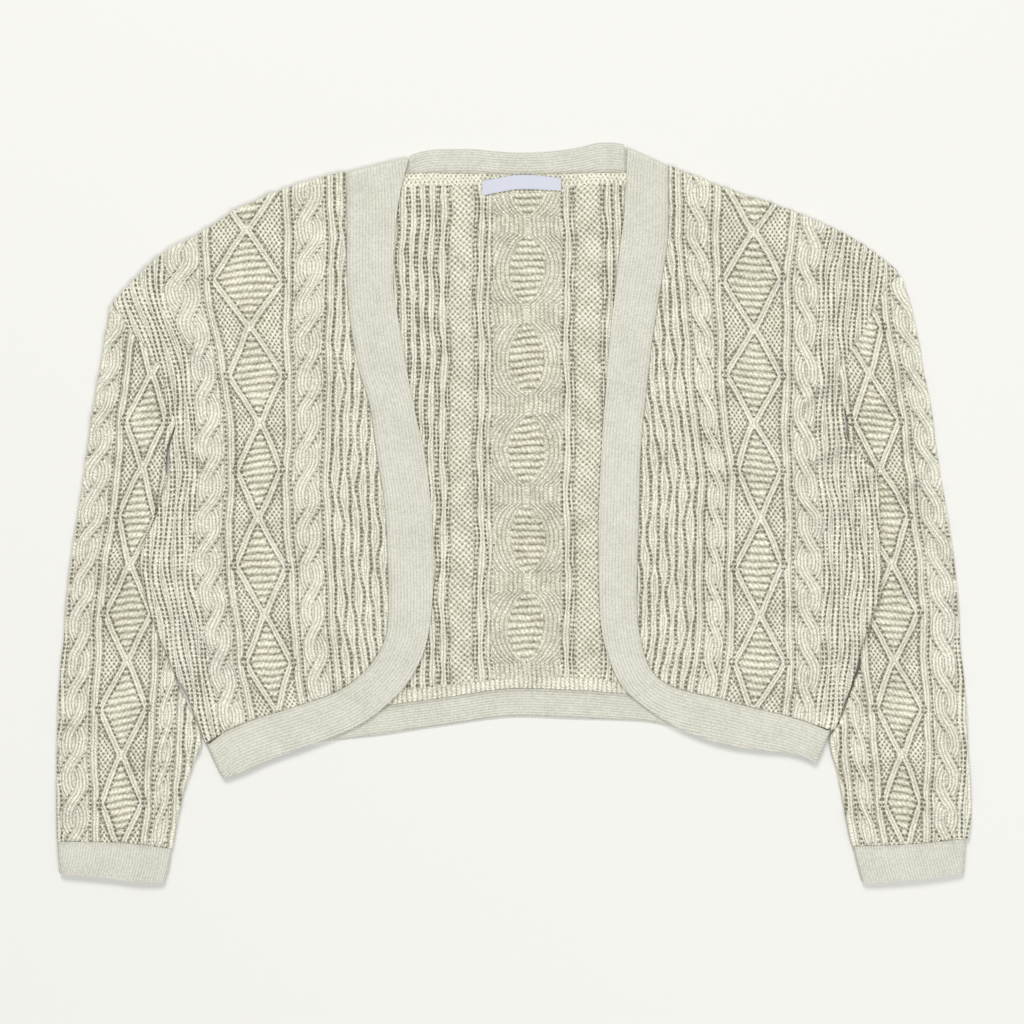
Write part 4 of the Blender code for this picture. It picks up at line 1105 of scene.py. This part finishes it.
def make_label(name, node, look):
    """The blank neck label: a thin woven tape, which lies close at its two ends and bows up between them."""
    top, bottom = Line(LABEL_TABLE, "x", "top"), Line(LABEL_TABLE, "x", "bottom")
    low = WALL + SEAM
    first, last = LABEL_TABLE[0].x, LABEL_TABLE[-1].x
    spots = []
    for row in range(LABEL_LONG + 1):
        x = first + (last - first) * row / LABEL_LONG
        for column in range(LABEL_WIDE + 1):
            share = column / LABEL_WIDE
            y = top(x) + (bottom(x) - top(x)) * share
            full = 0.7 * math.sin(math.pi * row / LABEL_LONG) ** 0.5 * (0.5 + 0.5 * share)
            # Painted shade along both long edges
            hollow = 0.35 * math.exp(-(min(share, 1 - share) / 0.06) ** 2)
            spots.append(Spot((x, y, low + full), (x, y, low + LABEL + full), x, y, plain(hollow)))
    piece, area = make_sheet(name, LABEL_WIDE, LABEL_LONG, spots, Plain(*TAPE_THREAD), look)
    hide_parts(node)


class Nodes:
    """Builds a material's node tree with short calls."""

    def __init__(self, name):
        self.material = bpy.data.materials.new(name)
        self.material.use_nodes = True
        self.tree = self.material.node_tree
        self.shader = self.tree.nodes["Principled BSDF"]

    def node(self, kind, **settings):
        made = self.tree.nodes.new(kind)
        for key, value in settings.items():
            setattr(made, key, value)
        return made

    def set(self, *values):
        """Numbers and colours on the shader's own sockets."""
        for name, value in values:
            self.shader.inputs[name].default_value = value

    def link(self, start, end):
        if isinstance(start, (int, float)):
            end.default_value = start
        else:
            self.tree.links.new(start, end)

    def math(self, operation, *values, clamp=False):
        made = self.node("ShaderNodeMath", operation=operation, use_clamp=clamp)
        for socket, value in zip(made.inputs, values):
            self.link(value, socket)
        return made.outputs[0]

    def times(self, first, second, clamp=False):
        return self.math("MULTIPLY", first, second, clamp=clamp)

    def plus(self, first, second, clamp=False):
        return self.math("ADD", first, second, clamp=clamp)

    def minus(self, first, second, clamp=False):
        return self.math("SUBTRACT", first, second, clamp=clamp)

    def ramp(self, value, gain, base):
        return self.plus(self.times(value, gain), base)

    def around(self, value, gain):
        """A value about one half, as a swing to both sides of 0."""
        return self.times(self.minus(value, 0.5), gain)

    def wave(self, value, rate):
        return self.math("COSINE", self.times(value, rate))

    def blend(self, share, first, second):
        """From the first number to the second one by a share."""
        return self.plus(self.times(self.minus(second, first), share), first)

    def tint(self, share, first, second):
        made = self.node("ShaderNodeMix", data_type="RGBA")
        self.link(share, made.inputs[0])
        for socket, value in ((made.inputs[6], first), (made.inputs[7], second)):
            if isinstance(value, tuple):
                socket.default_value = value
            else:
                self.link(value, socket)
        return made.outputs[2]

    def uv(self, name):
        """Both numbers of a UV map."""
        parts = self.node("ShaderNodeSeparateXYZ")
        self.link(self.node("ShaderNodeUVMap", uv_map=name).outputs["UV"], parts.inputs[0])
        return parts.outputs["X"], parts.outputs["Y"]

    def mark(self, name):
        return self.node("ShaderNodeAttribute", attribute_name=name).outputs["Fac"]

    def noise(self, scale, detail=2.0):
        made = self.node("ShaderNodeTexNoise")
        self.link(self.node("ShaderNodeTexCoord").outputs["Object"], made.inputs["Vector"])
        made.inputs["Scale"].default_value = scale
        made.inputs["Detail"].default_value = detail
        return made.outputs["Fac"]


# A knit's finish: its yarn, its tone where warmer at random and in painted shade, the colour of painted
# shade, the stitches' depth in mm, how much painted shade low stitches and hollows get, how fuzzy it is and
# how uneven its rows are
Finish = namedtuple("Finish", "yarn warm deep stitch_mm stitch_shade hollow_shade fuzz uneven")

CABLE_FINISH = Finish(
    yarn=(1.0, 0.985, 0.85, 1.0), warm=(0.97, 0.925, 0.73, 1.0), deep=(0.11, 0.095, 0.035, 1.0),
    stitch_mm=1.1, stitch_shade=0.50, hollow_shade=0.50, fuzz=1.00, uneven=0.80,
)
RIB_FINISH = Finish(
    yarn=(0.70, 0.695, 0.61, 1.0), warm=(0.69, 0.68, 0.59, 1.0), deep=(0.22, 0.20, 0.13, 1.0),
    stitch_mm=0.5, stitch_shade=0.30, hollow_shade=0.55, fuzz=0.70, uneven=0.30,
)
LABEL_FINISH = Finish(
    yarn=(0.60, 0.62, 0.70, 1.0), warm=(0.58, 0.60, 0.68, 1.0), deep=(0.30, 0.31, 0.36, 1.0),
    stitch_mm=0.10, stitch_shade=0.12, hollow_shade=0.5, fuzz=0.05, uneven=0.05,
)


def yarn_material(name, finish):
    """Knitted yarn: V-shaped face stitches, staggered reverse stitches, and painted shade in low stitches,
    hollows, holes and dotted lines.
    """
    nodes = Nodes(name)
    across, along = nodes.uv("stitch")
    aside, down = nodes.uv("groove")
    face, hole, hollow = nodes.mark("face"), nodes.mark("hole"), nodes.mark("hollow")
    uneven, looser, worn = nodes.noise(95.0), nodes.noise(38.0), nodes.noise(60.0)
    fuzz, cloudy = nodes.noise(620.0, 3.0), nodes.noise(11.0, 3.0)
    across = nodes.plus(across, nodes.around(uneven, finish.uneven))
    along = nodes.plus(along, nodes.around(looser, 2 * finish.uneven))

    # Face stitches: the legs of each pair of columns lean towards each other
    leg_place = nodes.math("ABSOLUTE", nodes.minus(nodes.math("FRACT", nodes.times(across, 0.5)), 0.5))
    leg = nodes.math("MAXIMUM", nodes.math("SINE", nodes.times(leg_place, 2 * math.pi)), 0.0)
    leg = nodes.math("POWER", leg, 0.85)
    slant = nodes.minus(along, nodes.times(leg_place, 1.6))
    turn = nodes.ramp(nodes.wave(slant, 2 * math.pi), 0.5, 0.5)
    face_height = nodes.times(leg, nodes.ramp(turn, 0.55, 0.45))

    # Reverse stitches: staggered bumps with a hole between each four, the holes painted dark as shade
    bumps = nodes.times(nodes.wave(across, 2 * math.pi), nodes.wave(along, math.pi))
    height = nodes.blend(face, nodes.ramp(bumps, 0.5, 0.5), face_height)
    threshold = nodes.minus(1.0, nodes.times(hole, 0.72))
    holes = nodes.times(nodes.minus(nodes.times(bumps, -1.0), threshold), 3.2, clamp=True)
    holes = nodes.times(holes, nodes.minus(1.0, face))

    # Grooves: a dotted line of painted shade, measured from the line's middle in mm
    aside = nodes.math("ABSOLUTE", nodes.plus(aside, nodes.around(uneven, 1.2)))
    sunk = nodes.minus(1.0, nodes.math("POWER", nodes.math("DIVIDE", aside, 0.95), 2.0), clamp=True)
    dots = nodes.ramp(nodes.wave(nodes.plus(down, nodes.times(uneven, 0.8)), 2 * math.pi), 0.85, 0.75)
    open_lines = nodes.times(hole, nodes.ramp(worn, 1.8, 0.35))
    groove = nodes.times(nodes.times(sunk, dots), open_lines, clamp=True)
    # A soft painted shade beside each groove
    beside = nodes.times(nodes.minus(1.0, nodes.math("DIVIDE", aside, 2.4), clamp=True), 0.08)

    # Painted shade from low stitches, hollows, holes and grooves, plus tone that varies at random
    painted_shade_and_tone = nodes.times(nodes.minus(1.0, height), finish.stitch_shade)
    for part in (nodes.times(hollow, finish.hollow_shade), nodes.around(fuzz, finish.fuzz),
                 nodes.around(worn, 0.4 * finish.fuzz), nodes.times(beside, hole)):
        painted_shade_and_tone = nodes.plus(painted_shade_and_tone, part)
    for part in (nodes.times(holes, 0.85), nodes.times(groove, 0.90)):
        painted_shade_and_tone = nodes.math("MAXIMUM", painted_shade_and_tone, part)
    painted_shade_and_tone = nodes.math("MAXIMUM", painted_shade_and_tone, 0.0, clamp=True)
    # Warmer where the tone varies at random and where shade is painted in hollows
    tone_and_shade_warmth = nodes.plus(nodes.times(cloudy, 0.5), nodes.times(hollow, 0.45), clamp=True)
    yarn = nodes.tint(tone_and_shade_warmth, finish.yarn, finish.warm)
    nodes.link(nodes.tint(painted_shade_and_tone, yarn, finish.deep), nodes.shader.inputs["Base Color"])

    bump = nodes.node("ShaderNodeBump")
    relief = nodes.minus(height, nodes.times(nodes.math("MAXIMUM", holes, groove), 0.9))
    nodes.link(nodes.plus(relief, nodes.times(fuzz, 0.35)), bump.inputs["Height"])
    nodes.link(finish.stitch_mm * MM, bump.inputs["Distance"])
    nodes.link(1.0, bump.inputs["Strength"])
    nodes.link(bump.outputs["Normal"], nodes.shader.inputs["Normal"])
    nodes.set(("Roughness", 0.9), ("Specular IOR Level", 0.25))
    nodes.set(("Sheen Weight", 0.12), ("Sheen Roughness", 0.6))
    return nodes.material


# The stage, in metres
FLOOR_HALF = 3.0
LIGHT_SIZE = 1.6
CAMERA_HEIGHT = 2.4
CAMERA_FIELD = 0.768  # how much of the floor the picture shows across


def make_floor():
    """A plain pale floor."""
    bm = bmesh.new()
    bmesh.ops.create_grid(bm, x_segments=1, y_segments=1, size=FLOOR_HALF)
    mesh = bpy.data.meshes.new("floor")
    bm.to_mesh(mesh)
    bm.free()
    nodes = Nodes("pale_floor")
    nodes.set(("Base Color", (0.746, 0.741, 0.712, 1.0)), ("Roughness", 0.95), ("Specular IOR Level", 0.0))
    mesh.materials.append(nodes.material)
    add("floor", mesh)


def add_light(name, place, turn, power, colour):
    data = bpy.data.lights.new(name, "AREA")
    data.shape = "SQUARE"
    data.size = LIGHT_SIZE
    data.energy = power
    data.color = colour
    light = add(name, data)
    light.location = place
    light.rotation_euler = [math.radians(value) for value in turn]


def set_stage():
    """Soft studio light, mostly from above the neck, and a camera straight above."""
    make_floor()
    world = bpy.data.worlds.new("studio")
    world.use_nodes = True
    world.node_tree.nodes["Background"].inputs["Color"].default_value = (1.0, 1.0, 0.99, 1.0)
    world.node_tree.nodes["Background"].inputs["Strength"].default_value = 0.52
    bpy.context.scene.world = world
    bpy.context.scene.view_settings.view_transform = "Standard"
    add_light("window", (-0.7, 3.0, 3.2), (-43, -10, 0), 110.0, (1.0, 0.99, 0.97))
    add_light("fill", (1.2, -1.6, 3.4), (22, 20, 0), 64.0, (0.97, 0.98, 1.0))
    data = bpy.data.cameras.new("above")
    data.sensor_width = 36.0
    data.lens = data.sensor_width * CAMERA_HEIGHT / CAMERA_FIELD
    camera = add("above", data)
    camera.location = (-0.00225, 0.0004, CAMERA_HEIGHT)
    bpy.context.scene.camera = camera


def main():
    cable = yarn_material("cable_knit_yarn", CABLE_FINISH)
    fine_rib = yarn_material("rib_knit_yarn", RIB_FINISH)
    woven = yarn_material("woven_label_tape", LABEL_FINISH)
    set_stage()
    make_back((LEFT, RIGHT), "back_knit", "back_panel", cable)
    for half, side in ((LEFT, "left"), (RIGHT, "right")):
        make_front(half, "front_knit_" + side, "front_" + side, cable)
        make_sleeve(half, "sleeve_knit_" + side, "sleeve_" + side, cable)
        make_cuff(half, "cuff_rib_" + side, "cuff_" + side, fine_rib)
        make_front_band(half, "band_rib_" + side, "front_band_" + side, fine_rib)
    make_strip(NECK_STRIP, "neck_rib", "neck_band", fine_rib)
    make_strip(HEM_STRIP, "hem_rib_back", "hem_band_back", fine_rib)
    make_label("label_tape", "neck_label", woven)


main()
